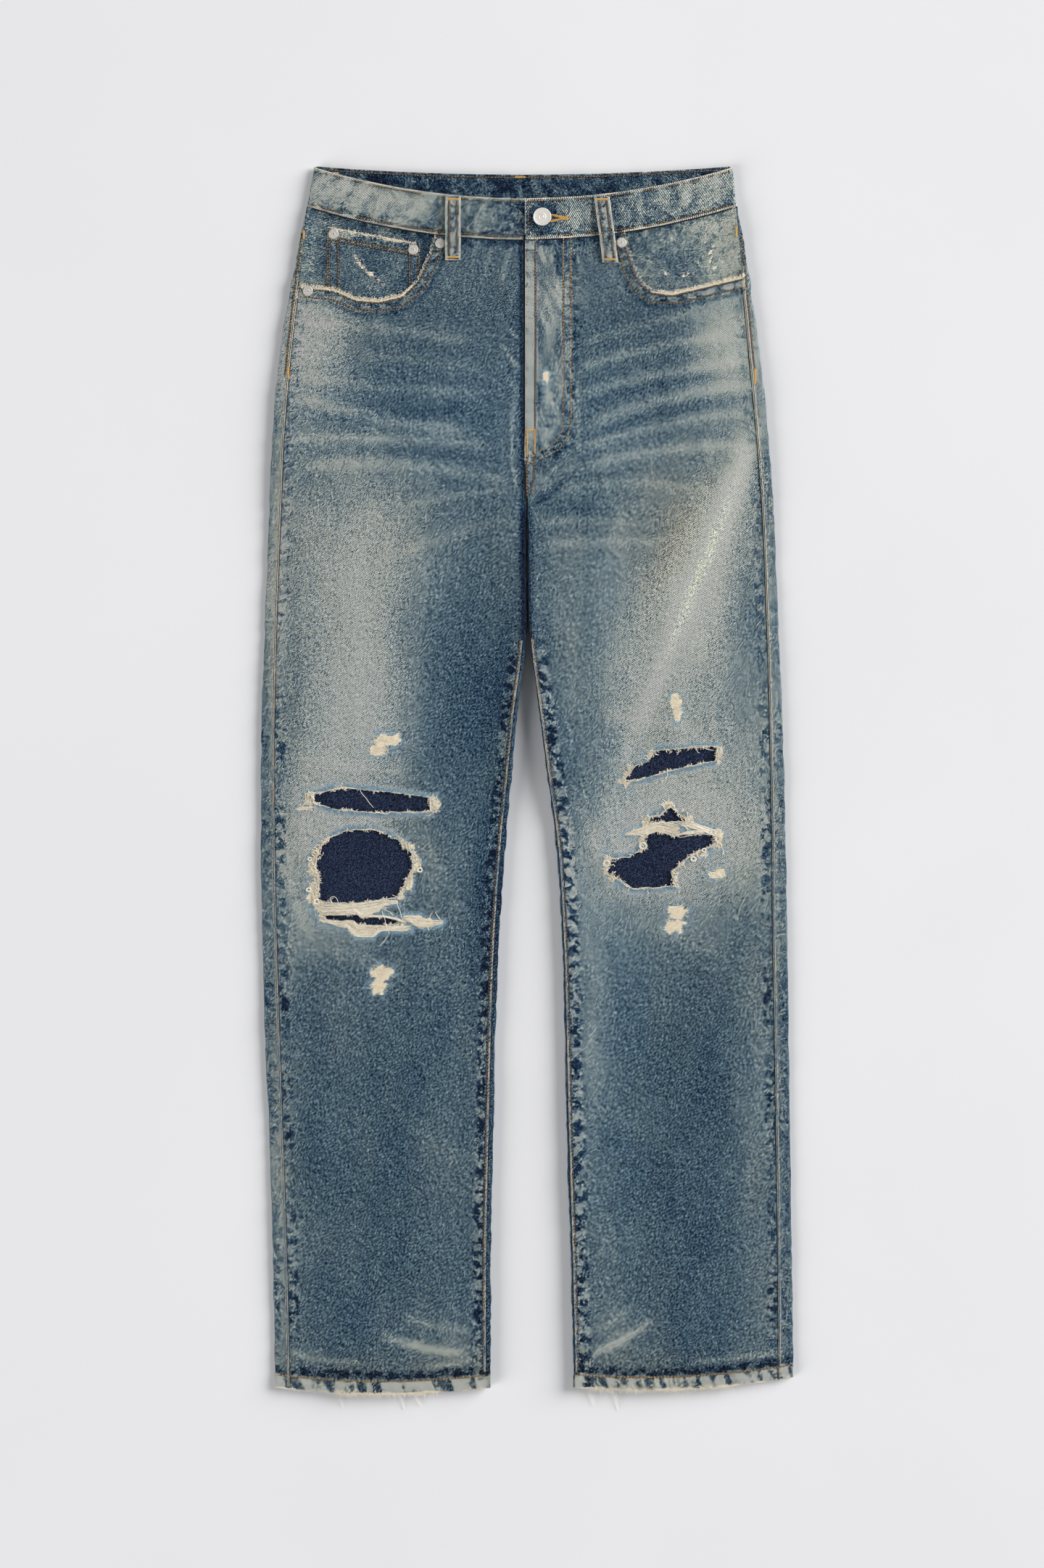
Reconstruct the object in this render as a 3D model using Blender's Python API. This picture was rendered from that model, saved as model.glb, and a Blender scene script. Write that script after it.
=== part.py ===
"""Ripped straight-leg jeans laid flat on their back, front up.

Frame: +X is the wearer's left, +Y the waist, +Z up from the surface they lie on.
The origin is under the middle of the garment's box. Sizes are in millimetres.
"""
import math

import bmesh
import bpy
import numpy as np
from mathutils import Vector

MM = 0.001

# ---- cloth
CLOTH = 1.3            # wall of one layer of heavy denim
BAND_CLOTH = 2.2       # doubled waistband
INNER_CLOTH = 1.0      # facings and patches
HEM_CLOTH = 2.6        # the hem is turned up
GAP = 0.3              # between pieces that are sewn to each other
FOLD_R = 2.6           # outer radius of the folded side edges
LIFT = 2.2             # the seat is raised by the pockets and loops under it

# ---- levels along the garment
BAND_SEAM = 521.0      # waistband seam at the side folds
BAND_TOP = 556.0
CROTCH = 251.0
HEM = -552.0
FRONT_DIP = 31.0       # how far the front waist seam hangs below its ends
FRONT_TOP_DIP = 28.5   # the same for the top edge of the front band
BACK_TOP_DIP = 7.5     # the same for the back band, which stands higher
HEM_SAG = 6.0
LEFT_HEM_RISE = 9.0    # the left hem's outer corner lies higher

# A row for each level: outer folds, inner folds, height of the top face, and the cloth that the
# back brings round onto the front. Above the crotch the inner folds are the centre seam.
SECTION_COLUMNS = ("level", "right_edge", "left_edge", "right_inner", "left_inner", "top", "wrap")
SECTIONS = {
    "hem": (-552, -230.5, 242.0, -33.7, 41.6, 8.5, 14.5),
    "ankle": (-465, -231.7, 241.0, -33.7, 39.6, 8.5, 14.0),
    "calf": (-307, -236.3, 238.5, -31.0, 35.0, 9.0, 13.5),
    "shin": (-150, -241.6, 236.3, -26.4, 31.0, 9.6, 14.0),
    "knee": (-70, -242.9, 235.0, -21.1, 26.4, 10.2, 13.5),
    "mid_thigh": (50, -242.2, 231.7, -10.6, 11.9, 10.8, 12.5),
    "thigh": (142, -239.2, 228.0, -0.8, 1.0, 11.8, 11.5),
    "crotch": (251, -235.0, 223.5, -0.9, -0.6, 13.5, 11.5),
    "seat": (321, -231.8, 218.0, -2.65, -2.35, 15.0, 11.5),
    "hip": (406, -223.0, 209.0, -2.65, -2.35, 15.0, 10.5),
    "yoke": (485, -208.5, 197.0, -2.65, -2.35, 13.5, 6.0),
    "band": (521, -201.0, 190.0, -2.65, -2.35, 12.0, 2.6),
    "waist": (556, -194.0, 186.0, -2.65, -2.35, 11.5, 2.3),
}

# Largest folds, soft ridges that fan out from the fly and the crotch, and slack creases down the
# legs: x and y of both ends, width, height.
FOLDS = {
    "right_hip_high": (-48, 392, -190, 410, 11, 1.6),
    "right_hip_mid": (-36, 345, -205, 352, 12, 1.8),
    "right_hip_low": (-30, 300, -200, 285, 12, 1.6),
    "left_hip_high": (52, 392, 175, 402, 11, 1.5),
    "left_hip_mid": (48, 345, 195, 340, 12, 1.8),
    "left_hip_low": (30, 298, 195, 272, 12, 1.6),
    "right_crotch": (-14, 262, -120, 205, 12, 1.6),
    "left_crotch": (14, 262, 120, 210, 12, 1.6),
    "right_thigh": (-95, 190, -60, 30, 16, 1.2),
    "left_thigh": (150, 170, 95, 40, 16, 1.4),
    "right_calf": (-180, -190, -90, -260, 15, 1.2),
    "left_calf": (85, -180, 180, -250, 15, 1.2),
}

FLY_STITCH_X = 34.0    # the flap under the fly's curved stitching stands a little proud
FLY_END = 290.0
FLY_RISE = 1.0

# ---- pocket mouths, scooped from the side seam up to the waistband seam (x, y)
POCKET_MOUTHS = {
    "r": ((-206, 448), (-176, 445), (-155, 436), (-135, 434.5), (-115, 439), (-101, 452),
          (-92, 470), (-85, 489), (-82, 500)),
    "l": ((196, 457), (156, 447), (131, 441), (113, 443), (103, 451), (96, 465), (90, 486), (86, 500)),
}

# ---- torn holes through the front panels at the knees (x, y)
TORN_HOLES = {
    "r_slot": ((-195, -13), (-168, -8), (-141, -10), (-113, -13), (-89, -17), (-89, -29), (-137, -30),
               (-174, -27), (-194, -21)),
    "r_knee": ((-179, -52), (-164, -46), (-139, -45), (-118, -55), (-105, -67), (-105, -79), (-111, -94),
               (-120, -107), (-141, -110), (-156, -112), (-191, -111), (-189, -90), (-193, -78), (-188, -60)),
    "r_slit": ((-186, -123), (-158, -122), (-150, -125), (-132, -124), (-115, -130), (-126, -132),
               (-154, -132), (-158, -129), (-183, -128)),
    "l_slot": ((86, -3), (92, 5), (97, 12), (110, 16), (116, 26), (149, 29), (172, 30), (170, 17),
               (149, 13), (131, 9), (104, 1)),
    "l_nick": ((110, -39), (112, -34), (120, -32), (130, -25), (136, -31), (145, -37), (131, -38)),
    "l_knee": ((105, -55), (107, -50), (119, -47), (131, -52), (136, -50), (170, -50), (171, -57),
               (155, -65), (141, -73), (130, -84), (134, -96), (118, -98), (97, -99), (86, -93), (72, -85),
               (75, -72), (92, -71), (99, -66), (108, -62)),
}

# ---- pieces behind a front panel: how deep their outer faces lie under its outer face
UNDER_FRONT = CLOTH + GAP
FACING_SINK = UNDER_FRONT + INNER_CLOTH + GAP
FACING_BOTTOM = 413.0
FACING_COLUMNS = 7
SHIELD_COLUMNS = 7        # the fly shield lies under the flap from here to the centre
KNEE_PATCH_LEVELS = (-136.0, 41.0)
COIN_POCKET = {"outer": -182.0, "inner": -98.0, "bottom": 424.0, "top_outer": 502.0, "top_inner": 486.5}

BACK_POCKET = {"centre": 106.0, "width": 142.0, "top": 428.0, "side": 292.0, "point": 270.0}
YOKE_CENTRE = 452.0       # the yoke seam rises from the centre back to the sides
YOKE_SIDE = 484.0

LOOP_WIDTH = 14.0
LOOP_CLOTH = 1.6
LOOP_BOW = 1.9
# ---- belt loops: top x, y and bottom x, y
FRONT_LOOPS = {
    "belt_loop_front_r": (-68, 529, -68, 471),
    "belt_loop_front_l": (67, 529, 75, 469),
}
BACK_LOOPS = {
    "belt_loop_side_r": (-176, 553, -178, 497),
    "belt_loop_side_l": (168, 553, 170, 497),
    "belt_loop_back": (-6, 549, -6, 489),
}

BUTTON_PLACE = (13.0, 510.0)
BUTTON_R = 8.3
RIVET_R = 4.6
# ---- rivets: x, y, how far what they sit on is sunk
RIVETS = {
    "rivet_hip_r": (-199.5, 443.5, 0.0),
    "rivet_front_r": (-79.5, 486.5, 0.0),
    "rivet_front_l": (85.0, 487.0, 0.0),
    "rivet_coin_out": (-176.5, 495.5, CLOTH + GAP),
    "rivet_coin_in": (-104.0, 481.0, CLOTH + GAP),
}

# ---- grids: levels shared by the front and the back, so that their seams meet row for row
LEVELS = (520.85, 503, 484, 466, 448, 430, 414, 394, 374, 354, 334, 314, 294, 275, 258, 251, 243,
          232, 218, 196, 160, 120, 80, 38, 4, -30, -65, -100, -135, -200, -290, -390, -480, -534,
          -539, -552)
TOP_STEPS = 10
FOLD_STEPS = 5
UNDER_STEPS = 5
WALL_STEPS = 4


def smoothstep(value, low, high):
    """0 below low, 1 above high, smooth between; low may be the larger."""
    t = np.clip((np.asarray(value, float) - low) / (high - low), 0.0, 1.0)
    return t * t * (3.0 - 2.0 * t)


def section_column(name):
    """One column of the section table, from the hem up, with the slope at each row."""
    rows = np.array(list(SECTIONS.values()), float)
    level = rows[:, 0]
    value = rows[:, SECTION_COLUMNS.index(name)]
    step = np.diff(value) / np.diff(level)
    slope = np.zeros(len(value))
    same_way = step[1:] * step[:-1] > 0
    slope[1:-1] = np.where(same_way, 0.5 * (step[1:] + step[:-1]), 0.0)
    limit = 3.0 * np.minimum(abs(step[1:]), abs(step[:-1]))
    slope[1:-1] = np.clip(slope[1:-1], -limit, limit)
    slope[0] = step[0]
    slope[-1] = step[-1]
    return level, value, slope


TABLE = {name: section_column(name) for name in SECTION_COLUMNS[1:]}


def at(level, name):
    """A section size at any level, on a smooth curve through the table's rows."""
    rows, value, slope = TABLE[name]
    level = np.clip(np.asarray(level, float), rows[0], rows[-1])
    i = np.clip(np.searchsorted(rows, level) - 1, 0, len(rows) - 2)
    span = rows[i + 1] - rows[i]
    t = (level - rows[i]) / span
    before = value[i] * (1 + 2 * t) * (1 - t) ** 2 + slope[i] * span * t * (1 - t) ** 2
    after = value[i + 1] * t * t * (3 - 2 * t) - slope[i + 1] * span * t * t * (1 - t)
    return before + after


def torso_place(x, level):
    """-1 at the right side fold, 0 in the middle and 1 at the left side fold."""
    right = at(level, "right_edge")
    left = at(level, "left_edge")
    return (2 * x - right - left) / (left - right)


def leg_place(x, level):
    """The same across the leg that x is on."""
    on_right = x < 0.5 * (at(level, "right_inner") + at(level, "left_inner"))
    outer = np.where(on_right, at(level, "right_edge"), at(level, "left_edge"))
    inner = np.where(on_right, at(level, "right_inner"), at(level, "left_inner"))
    return (2 * x - inner - outer) / (inner - outer)


def crown(place):
    """Height of a laid tube across its width: 0 at its folds and 1 along its middle."""
    return np.clip(1 - np.asarray(place) ** 2, 0, 1) ** 0.75


def under_height(level):
    """Height of the back's under face."""
    return LIFT * smoothstep(level, 225, 275)


def fold_relief(x, y):
    """The largest folds."""
    total = np.zeros(np.broadcast(x, y).shape)
    for x0, y0, x1, y1, width, height in FOLDS.values():
        length = math.hypot(x1 - x0, y1 - y0)
        along = ((x - x0) * (x1 - x0) + (y - y0) * (y1 - y0)) / length
        across = ((x - x0) * (y1 - y0) - (y - y0) * (x1 - x0)) / length
        ends = smoothstep(along, -12, 25) * smoothstep(along, length + 12, length - 40)
        total = total + height * ends * np.exp(-(across / width) ** 2)
    return total


def top_height(x, y):
    """Height of the front's outer face over a place in plan."""
    split = smoothstep(y, 300, 190)
    rise = (1 - split) * crown(torso_place(x, y)) + split * crown(leg_place(x, y))
    low = under_height(y) + 2 * FOLD_R
    flap = smoothstep(x, -2.6, -2.4) * smoothstep(x, FLY_STITCH_X + 3, FLY_STITCH_X - 2)
    flap = flap * smoothstep(y, FLY_END - 8, FLY_END + 6) * smoothstep(y, 498, 486)
    edge = np.minimum(1, rise * 1.6)
    return low + (at(y, "top") - low) * rise + fold_relief(x, y) * edge + FLY_RISE * flap


def front_level(x, level):
    """Where a level of the front lies in plan: the waist dips and the hem sags."""
    dip = FRONT_DIP * np.clip(1 - torso_place(x, level) ** 2, 0, 1) * smoothstep(level, 395, BAND_SEAM)
    return level - dip + hem_shift(x, level)


def back_level(x, level):
    return level + hem_shift(x, level)


def hem_shift(x, level):
    place = leg_place(x, level)
    near = smoothstep(level, -430, HEM)
    tilt = np.where(x > 0, LEFT_HEM_RISE * 0.5 * (1 - place), 0)
    return near * (tilt - HEM_SAG * np.clip(1 - place ** 2, 0, 1))


def front_seam(x):
    """Waistband seam of the front."""
    return BAND_SEAM - FRONT_DIP * np.clip(1 - torso_place(x, BAND_SEAM) ** 2, 0, 1)


def front_top(x):
    return BAND_TOP - FRONT_TOP_DIP * np.clip(1 - torso_place(x, BAND_TOP) ** 2, 0, 1)


def back_top(x):
    return BAND_TOP + 1.5 - BACK_TOP_DIP * np.clip(1 - torso_place(x, BAND_TOP) ** 2, 0, 1)


def back_seam(x):
    return BAND_SEAM - 0.2 * BACK_TOP_DIP * np.clip(1 - torso_place(x, BAND_SEAM) ** 2, 0, 1)


def yoke_seam(x):
    """Height of the yoke's lower seam on the back."""
    return YOKE_SIDE - (YOKE_SIDE - YOKE_CENTRE) * np.clip(1 - np.abs(torso_place(x, YOKE_SIDE)), 0, 1)


class ClothLine:
    """Outer face of one leg, with its half of the seat, at a level. It starts on top beside the
    inner fold, runs down the inner wall, under the leg, round the outer fold, over the top and
    down the inner wall again. Length along it is 0 at the outer fold's edge."""

    def __init__(self, side, level):
        out = -1 if side == "r" else 1
        edge = float(at(level, "right_edge" if side == "r" else "left_edge"))
        inner = float(at(level, "right_inner" if side == "r" else "left_inner"))
        under = float(under_height(level))
        inner_r = FOLD_R * float(smoothstep(level, CROTCH + 5, CROTCH - 16))
        fold_x = edge - out * FOLD_R
        wall_x = inner + out * inner_r

        def top_at(x):
            return top_height(x, front_level(x, level))

        def fold(centre_x, reach, begin, end):
            half = 0.5 * (float(top_at(np.array(centre_x))) - under)
            angle = np.linspace(begin, end, 17)
            return centre_x + reach * np.cos(angle), under + half + half * np.sin(angle)

        quarter = math.pi / 2
        lead_x = wall_x + out * np.array([8.0, 5.0, 2.0, 0.2, 0.0])
        under_x = np.linspace(wall_x, fold_x, 24)
        over_x = np.append(np.linspace(fold_x, wall_x + out * 0.2, 59), wall_x)
        inner_wall = fold(wall_x, -out * inner_r, quarter, -quarter)
        parts = [(lead_x, top_at(lead_x)), inner_wall, (under_x, np.full(24, under)),
                 fold(fold_x, out * FOLD_R, -quarter, quarter), (over_x, top_at(over_x)), inner_wall]
        self.x = np.concatenate([part[0][:-1] for part in parts] + [inner_wall[0][-1:]])
        self.z = np.concatenate([part[1][:-1] for part in parts] + [inner_wall[1][-1:]])
        run = np.concatenate([[0], np.cumsum(np.hypot(np.diff(self.x), np.diff(self.z)))])
        corner = 4 + 16
        self.run = run - run[corner + 23 + 8]
        self.wall_middle = self.run[4 + 8]
        self.under_corner = self.run[corner]
        self.under_fold = self.run[corner + 23]
        self.top_fold = self.run[corner + 23 + 16]
        self.top_corner = self.run[corner + 23 + 16 + 59]
        self.end_middle = self.run[corner + 23 + 16 + 59 + 8]
        self.normal_x = out * np.gradient(self.z, self.run)
        self.normal_z = -out * np.gradient(self.x, self.run)

    def sample(self, runs, depth):
        """Points at lengths along the line, moved in by depth: x, z, and x before the move."""
        x = np.interp(runs, self.run, self.x)
        z = np.interp(runs, self.run, self.z)
        normal_x = np.interp(runs, self.run, self.normal_x)
        normal_z = np.interp(runs, self.run, self.normal_z)
        size = np.hypot(normal_x, normal_z)
        return x - depth * normal_x / size, z - depth * normal_z / size, x


def outseam(level):
    """Length from the outer fold's edge to the side seam, which lies on the front."""
    return float(at(level, "wrap"))


def inseam_climb(level):
    """The inseam starts halfway up the inner wall at the crotch and climbs onto the top."""
    return 4.6 * float(smoothstep(level, CROTCH, CROTCH - 33))


def inseam_gap(level):
    """Half the gap at the inseam, wider where it turns up the wall at the crotch."""
    return GAP / 2 + 0.5 * float(smoothstep(level, 180, 200))


def front_runs(line, level):
    """Lengths of the front panel's columns, from the side seam to its inner edge."""
    begin = outseam(level) + GAP / 2
    if level > CROTCH + 4:
        end = line.top_corner
    else:
        end = line.end_middle - inseam_climb(level) - inseam_gap(level)
    bend = min(line.top_corner - 1.0, end - 1.5)
    return np.concatenate([np.linspace(begin, bend, TOP_STEPS), np.linspace(bend, end, 3)[1:]])


def back_runs(line, level):
    """Lengths of the back's columns, from its inner edge to the side seam."""
    if level > CROTCH + 4:
        begin = line.under_corner
        turn = begin + 10.0
    else:
        begin = line.wall_middle - inseam_climb(level) + inseam_gap(level)
        turn = line.under_corner
    end = outseam(level) - GAP / 2
    fold_end = min(line.top_fold, end - 0.5)
    return np.concatenate([np.linspace(begin, turn, WALL_STEPS)[:-1],
                           np.linspace(turn, line.under_fold, UNDER_STEPS)[:-1],
                           np.linspace(line.under_fold, fold_end, FOLD_STEPS), [end]])


# ---------------------------------------------------------------- meshes

def clean_scene():
    for thing in list(bpy.data.objects):
        bpy.data.objects.remove(thing, do_unlink=True)


def cloth_material(name, color, roughness=0.9, metallic=0.0):
    """A Principled finish in linear colour."""
    material = bpy.data.materials.new(name)
    material.use_nodes = True
    shader = material.node_tree.nodes["Principled BSDF"]
    shader.inputs["Base Color"].default_value = (*color, 1.0)
    shader.inputs["Roughness"].default_value = roughness
    shader.inputs["Metallic"].default_value = metallic
    return material


def finish_mesh(name, bm, material, smooth=True):
    """Turn a bmesh in millimetres into an object in metres, with its faces out."""
    bmesh.ops.recalc_face_normals(bm, faces=bm.faces)
    if bm.calc_volume(signed=True) < 0:
        bmesh.ops.reverse_faces(bm, faces=bm.faces)
    bmesh.ops.scale(bm, vec=(MM, MM, MM), verts=bm.verts)
    mesh = bpy.data.meshes.new(name)
    bm.to_mesh(mesh)
    bm.free()
    if smooth:
        mesh.shade_smooth()
        mesh.set_sharp_from_angle(angle=math.radians(40))
    mesh.materials.append(material)
    obj = bpy.data.objects.new(name, mesh)
    bpy.context.collection.objects.link(obj)
    return obj


def shell(name, outer, inner, material):
    """A wall between two grids of points of the same shape, closed round its rim."""
    rows, columns = outer.shape[:2]
    bm = bmesh.new()
    grids = [[[bm.verts.new(grid[r, c]) for c in range(columns)] for r in range(rows)]
             for grid in (outer, inner)]
    for grid in grids:
        for r in range(rows - 1):
            for c in range(columns - 1):
                bm.faces.new((grid[r][c], grid[r][c + 1], grid[r + 1][c + 1], grid[r + 1][c]))
    rim = [(0, c) for c in range(columns)]
    rim += [(r, columns - 1) for r in range(1, rows)]
    rim += [(rows - 1, c) for c in range(columns - 2, -1, -1)]
    rim += [(r, 0) for r in range(rows - 2, 0, -1)]
    for (r0, c0), (r1, c1) in zip(rim, rim[1:] + rim[:1]):
        bm.faces.new((grids[0][r0][c0], grids[0][r1][c1], grids[1][r1][c1], grids[1][r0][c0]))
    return finish_mesh(name, bm, material)


def turned(name, profile, segments, x, y, height, material):
    """A round piece turned from (radius, height) points, top to bottom, standing square to the
    cloth's face at a place in plan."""
    slope_x = float(top_height(np.array(x + 2.0), y) - top_height(np.array(x - 2.0), y)) / 4
    slope_y = float(top_height(np.array(x), y + 2.0) - top_height(np.array(x), y - 2.0)) / 4
    up = Vector((-slope_x, -slope_y, 1)).normalized()
    turn = up.to_track_quat("Z", "Y").to_matrix()
    foot = Vector((x, y, float(top_height(np.array(x), y)))) + up * height
    bm = bmesh.new()
    rings = []
    for radius, level in profile:
        count = segments if radius > 0 else 1
        angles = [2 * math.pi * k / segments for k in range(count)]
        spots = [Vector((radius * math.cos(a), radius * math.sin(a), level)) for a in angles]
        rings.append([bm.verts.new(foot + turn @ spot) for spot in spots])
    for above, below in zip(rings, rings[1:]):
        for k in range(segments):
            n = (k + 1) % segments
            corners = [above[k % len(above)], below[k % len(below)], below[n % len(below)],
                       above[n % len(above)]]
            bm.faces.new(list(dict.fromkeys(corners)))
    return finish_mesh(name, bm, material)


def cut(obj, name, outline):
    """Cut a plan outline right through a panel."""
    bm = bmesh.new()
    low = [bm.verts.new((x, y, -20)) for x, y in outline]
    high = [bm.verts.new((x, y, 40)) for x, y in outline]
    bm.faces.new(low)
    bm.faces.new(high)
    for i in range(len(outline)):
        j = (i + 1) % len(outline)
        bm.faces.new((low[i], low[j], high[j], high[i]))
    cutter = finish_mesh(f"{name}_cutter", bm, obj.data.materials[0], smooth=False)
    cutter.hide_render = True
    cutter.display_type = "WIRE"
    tool = obj.modifiers.new(name, "BOOLEAN")
    tool.operation = "DIFFERENCE"
    tool.solver = "EXACT"
    tool.object = cutter


# ---------------------------------------------------------------- cloth pieces

def wall_at(level):
    return HEM_CLOTH if level < -535 else CLOTH


def front_grid(side, levels, columns, depth_at):
    """Points on the front, moved in by depth_at(level, lengths, y)."""
    grid = []
    for level in levels:
        line = ClothLine(side, level)
        runs = front_runs(line, level)[columns]
        plan_x = line.sample(runs, 0)[2]
        y = front_level(plan_x, level)
        x, z, plan_x = line.sample(runs, depth_at(level, runs, y))
        grid.append(np.column_stack([x, y, z]))
    return np.array(grid)


def front_shell(name, side, levels, columns, outer_depth, wall, material):
    """A piece on or behind the front panel, made from the panel's own points."""
    def inner_depth(level, runs, y):
        return outer_depth(level, runs, y) + wall(level)
    outer = front_grid(side, levels, columns, outer_depth)
    inner = front_grid(side, levels, columns, inner_depth)
    return shell(name, outer, inner, material)


def flat_depth(depth):
    return lambda level, runs, y: depth


def front_panel(side, material):
    every = slice(None)
    panel = front_shell(f"front_panel_{side}", side, LEVELS, every, flat_depth(0.0), wall_at, material)
    mouth = POCKET_MOUTHS[side]
    beyond = -300 if side == "r" else 300
    scoop = list(mouth) + [(mouth[-1][0], 600), (beyond, 600), (beyond, mouth[0][1])]
    cut(panel, f"pocket_mouth_{side}", scoop)
    for name, outline in TORN_HOLES.items():
        if name.startswith(side):
            cut(panel, name, outline)


def pocket_facing(side, material):
    """Sunk behind the scooped mouth, and level with the panels along the side seam."""
    mouth_end = POCKET_MOUTHS[side][0][1]

    def depth(level, runs, y):
        beside_seam = smoothstep(runs - outseam(level), 0, 14)
        below_mouth = smoothstep(y, mouth_end + 8, mouth_end + 1)
        return FACING_SINK * np.maximum(beside_seam, below_mouth)

    levels = [level for level in LEVELS if level > FACING_BOTTOM]
    levels = levels[:4] + [mouth_end + 9, mouth_end] + [v for v in levels[4:] if v < mouth_end - 6]
    front_shell(f"pocket_facing_{side}", side, levels, slice(0, FACING_COLUMNS), depth,
                lambda level: INNER_CLOTH, material)


def coin_pocket(material):
    """Its own wall over the right facing, open at its slanting top."""
    across = np.linspace(0, 1, 6)
    up = np.linspace(0, 1, 5)
    x = COIN_POCKET["outer"] + (COIN_POCKET["inner"] - COIN_POCKET["outer"]) * across[None, :]
    top = COIN_POCKET["top_outer"] + (COIN_POCKET["top_inner"] - COIN_POCKET["top_outer"]) * across
    y = COIN_POCKET["bottom"] + (top[None, :] - COIN_POCKET["bottom"]) * up[:, None]
    x = np.broadcast_to(x, y.shape)
    z = top_height(x, y) - UNDER_FRONT
    shell("coin_pocket", np.dstack([x, y, z]), np.dstack([x, y, z - INNER_CLOTH]), material)


def knee_patch(side, material):
    levels = [v for v in LEVELS if KNEE_PATCH_LEVELS[0] < v < KNEE_PATCH_LEVELS[1]]
    front_shell(f"knee_patch_{side}", side, levels, slice(1, TOP_STEPS - 1), flat_depth(UNDER_FRONT),
                lambda level: INNER_CLOTH, material)


def fly_shield(material):
    levels = [v for v in LEVELS if v > FLY_END - 10]
    front_shell("fly_shield", "l", levels, slice(SHIELD_COLUMNS, TOP_STEPS), flat_depth(UNDER_FRONT),
                lambda level: INNER_CLOTH, material)


def back_grid(side, levels, depth_at, plan_y):
    grid = []
    for level in levels:
        line = ClothLine(side, level)
        runs = back_runs(line, level)
        x, z, plan_x = line.sample(runs, depth_at(level))
        onto_front = smoothstep(runs, line.under_fold, line.top_fold)
        grid.append(np.column_stack([x, plan_y(plan_x, level, onto_front), z]))
    return np.array(grid)


def back_panel(side, material):
    """From the inseam, or the centre back, under the leg and round its outer fold to the side seam."""
    def plan_y(x, level, onto_front):
        share = np.clip((level - 390) / (YOKE_SIDE - 390), 0, 1)
        top = yoke_seam(x) - GAP / 2
        return np.where(share > 0, 390 + share * (top - 390), level + hem_shift(x, level))

    levels = [v for v in LEVELS if v <= YOKE_SIDE]
    outer = back_grid(side, levels, lambda level: 0.0, plan_y)
    inner = back_grid(side, levels, wall_at, plan_y)
    shell(f"back_panel_{side}", outer, inner, material)


def yoke(side, material):
    levels = [v for v in LEVELS if v >= YOKE_SIDE]

    def plan_y(x, level, onto_front):
        share = (level - YOKE_SIDE) / (levels[0] - YOKE_SIDE)
        low = yoke_seam(x) + GAP / 2
        high = back_seam(x) + (front_seam(x) - back_seam(x)) * onto_front - GAP / 2
        return low + share * (high - low)

    outer = back_grid(side, levels, lambda level: 0.0, plan_y)
    inner = back_grid(side, levels, lambda level: CLOTH, plan_y)
    shell(f"yoke_{side}", outer, inner, material)


def waistband(material):
    """One doubled strip: its right end runs under the left end at centre front."""
    lap = 28.0
    rows = []
    for share in np.linspace(0, 1, 3):
        level = BAND_SEAM + share * (BAND_TOP - BAND_SEAM)
        points = [[], []]
        for side in ("r", "l"):
            line = ClothLine(side, level)
            runs = np.concatenate([np.linspace(line.under_corner, line.under_fold, 8),
                                   np.linspace(line.under_fold, line.top_fold, 7)[1:],
                                   np.linspace(line.top_fold, line.top_corner, 14)[1:]])
            onto_front = smoothstep(runs, line.under_fold, line.top_fold)
            if side == "r":
                runs = runs[::-1]
                onto_front = onto_front[::-1]
            else:
                runs = runs[1:]
                onto_front = onto_front[1:]
            for face, depth in enumerate((0.0, BAND_CLOTH)):
                x, z, plan_x = line.sample(runs, depth)
                front_y = front_seam(plan_x) + GAP / 2
                front_y = front_y + share * (front_top(plan_x) - front_y)
                back_y = back_seam(plan_x) + GAP / 2
                back_y = back_y + share * (back_top(plan_x) - back_y)
                y = back_y + (front_y - back_y) * onto_front
                on_top = onto_front > 0.99
                if side == "r":
                    lap_x = np.linspace(lap, at(level, "right_inner"), 4)[:-1]
                    lap_y = front_seam(lap_x) + GAP / 2
                    lap_y = lap_y + share * (front_top(lap_x) - lap_y)
                    lap_z = top_height(lap_x, lap_y) - depth
                    x = np.concatenate([lap_x, x])
                    y = np.concatenate([lap_y, y])
                    z = np.concatenate([lap_z, z])
                    on_top = np.concatenate([np.ones(3, bool), on_top])
                    z = z - np.where(on_top, 1.3 * smoothstep(x, -22, -4), 0)
                else:
                    z = z + np.where(on_top, 1.2 * smoothstep(x, lap + 22, lap + 4), 0)
                points[face].append(np.column_stack([x, y, z]))
        rows.append([np.concatenate(face) for face in points])
    rows = np.array(rows)
    shell("waistband", rows[:, 0], rows[:, 1], material)


def belt_loop(name, ends, under, material):
    """A doubled strip that stands off the band between its tacked ends."""
    x0, y0, x1, y1 = ends
    along = np.linspace(0, 1, 7)
    across = np.linspace(-0.5, 0.5, 2) * LOOP_WIDTH
    x = x0 + (x1 - x0) * along[:, None] + across[None, :]
    y = np.broadcast_to(y0 + (y1 - y0) * along[:, None], x.shape)
    if under:
        near = LIFT - GAP + np.zeros(x.shape)
        far = near - LOOP_CLOTH
    else:
        bow = LOOP_BOW * np.sin(np.pi * along[:, None]) ** 0.7
        lap_rise = 1.2 * smoothstep(x0, 50 + LOOP_WIDTH, 32) if x0 > 0 else 0.0
        near = top_height(x, y) + GAP + 0.3 + lap_rise + bow
        far = near + LOOP_CLOTH
    shell(name, np.dstack([x, y, far]), np.dstack([x, y, near]), material)


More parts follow.
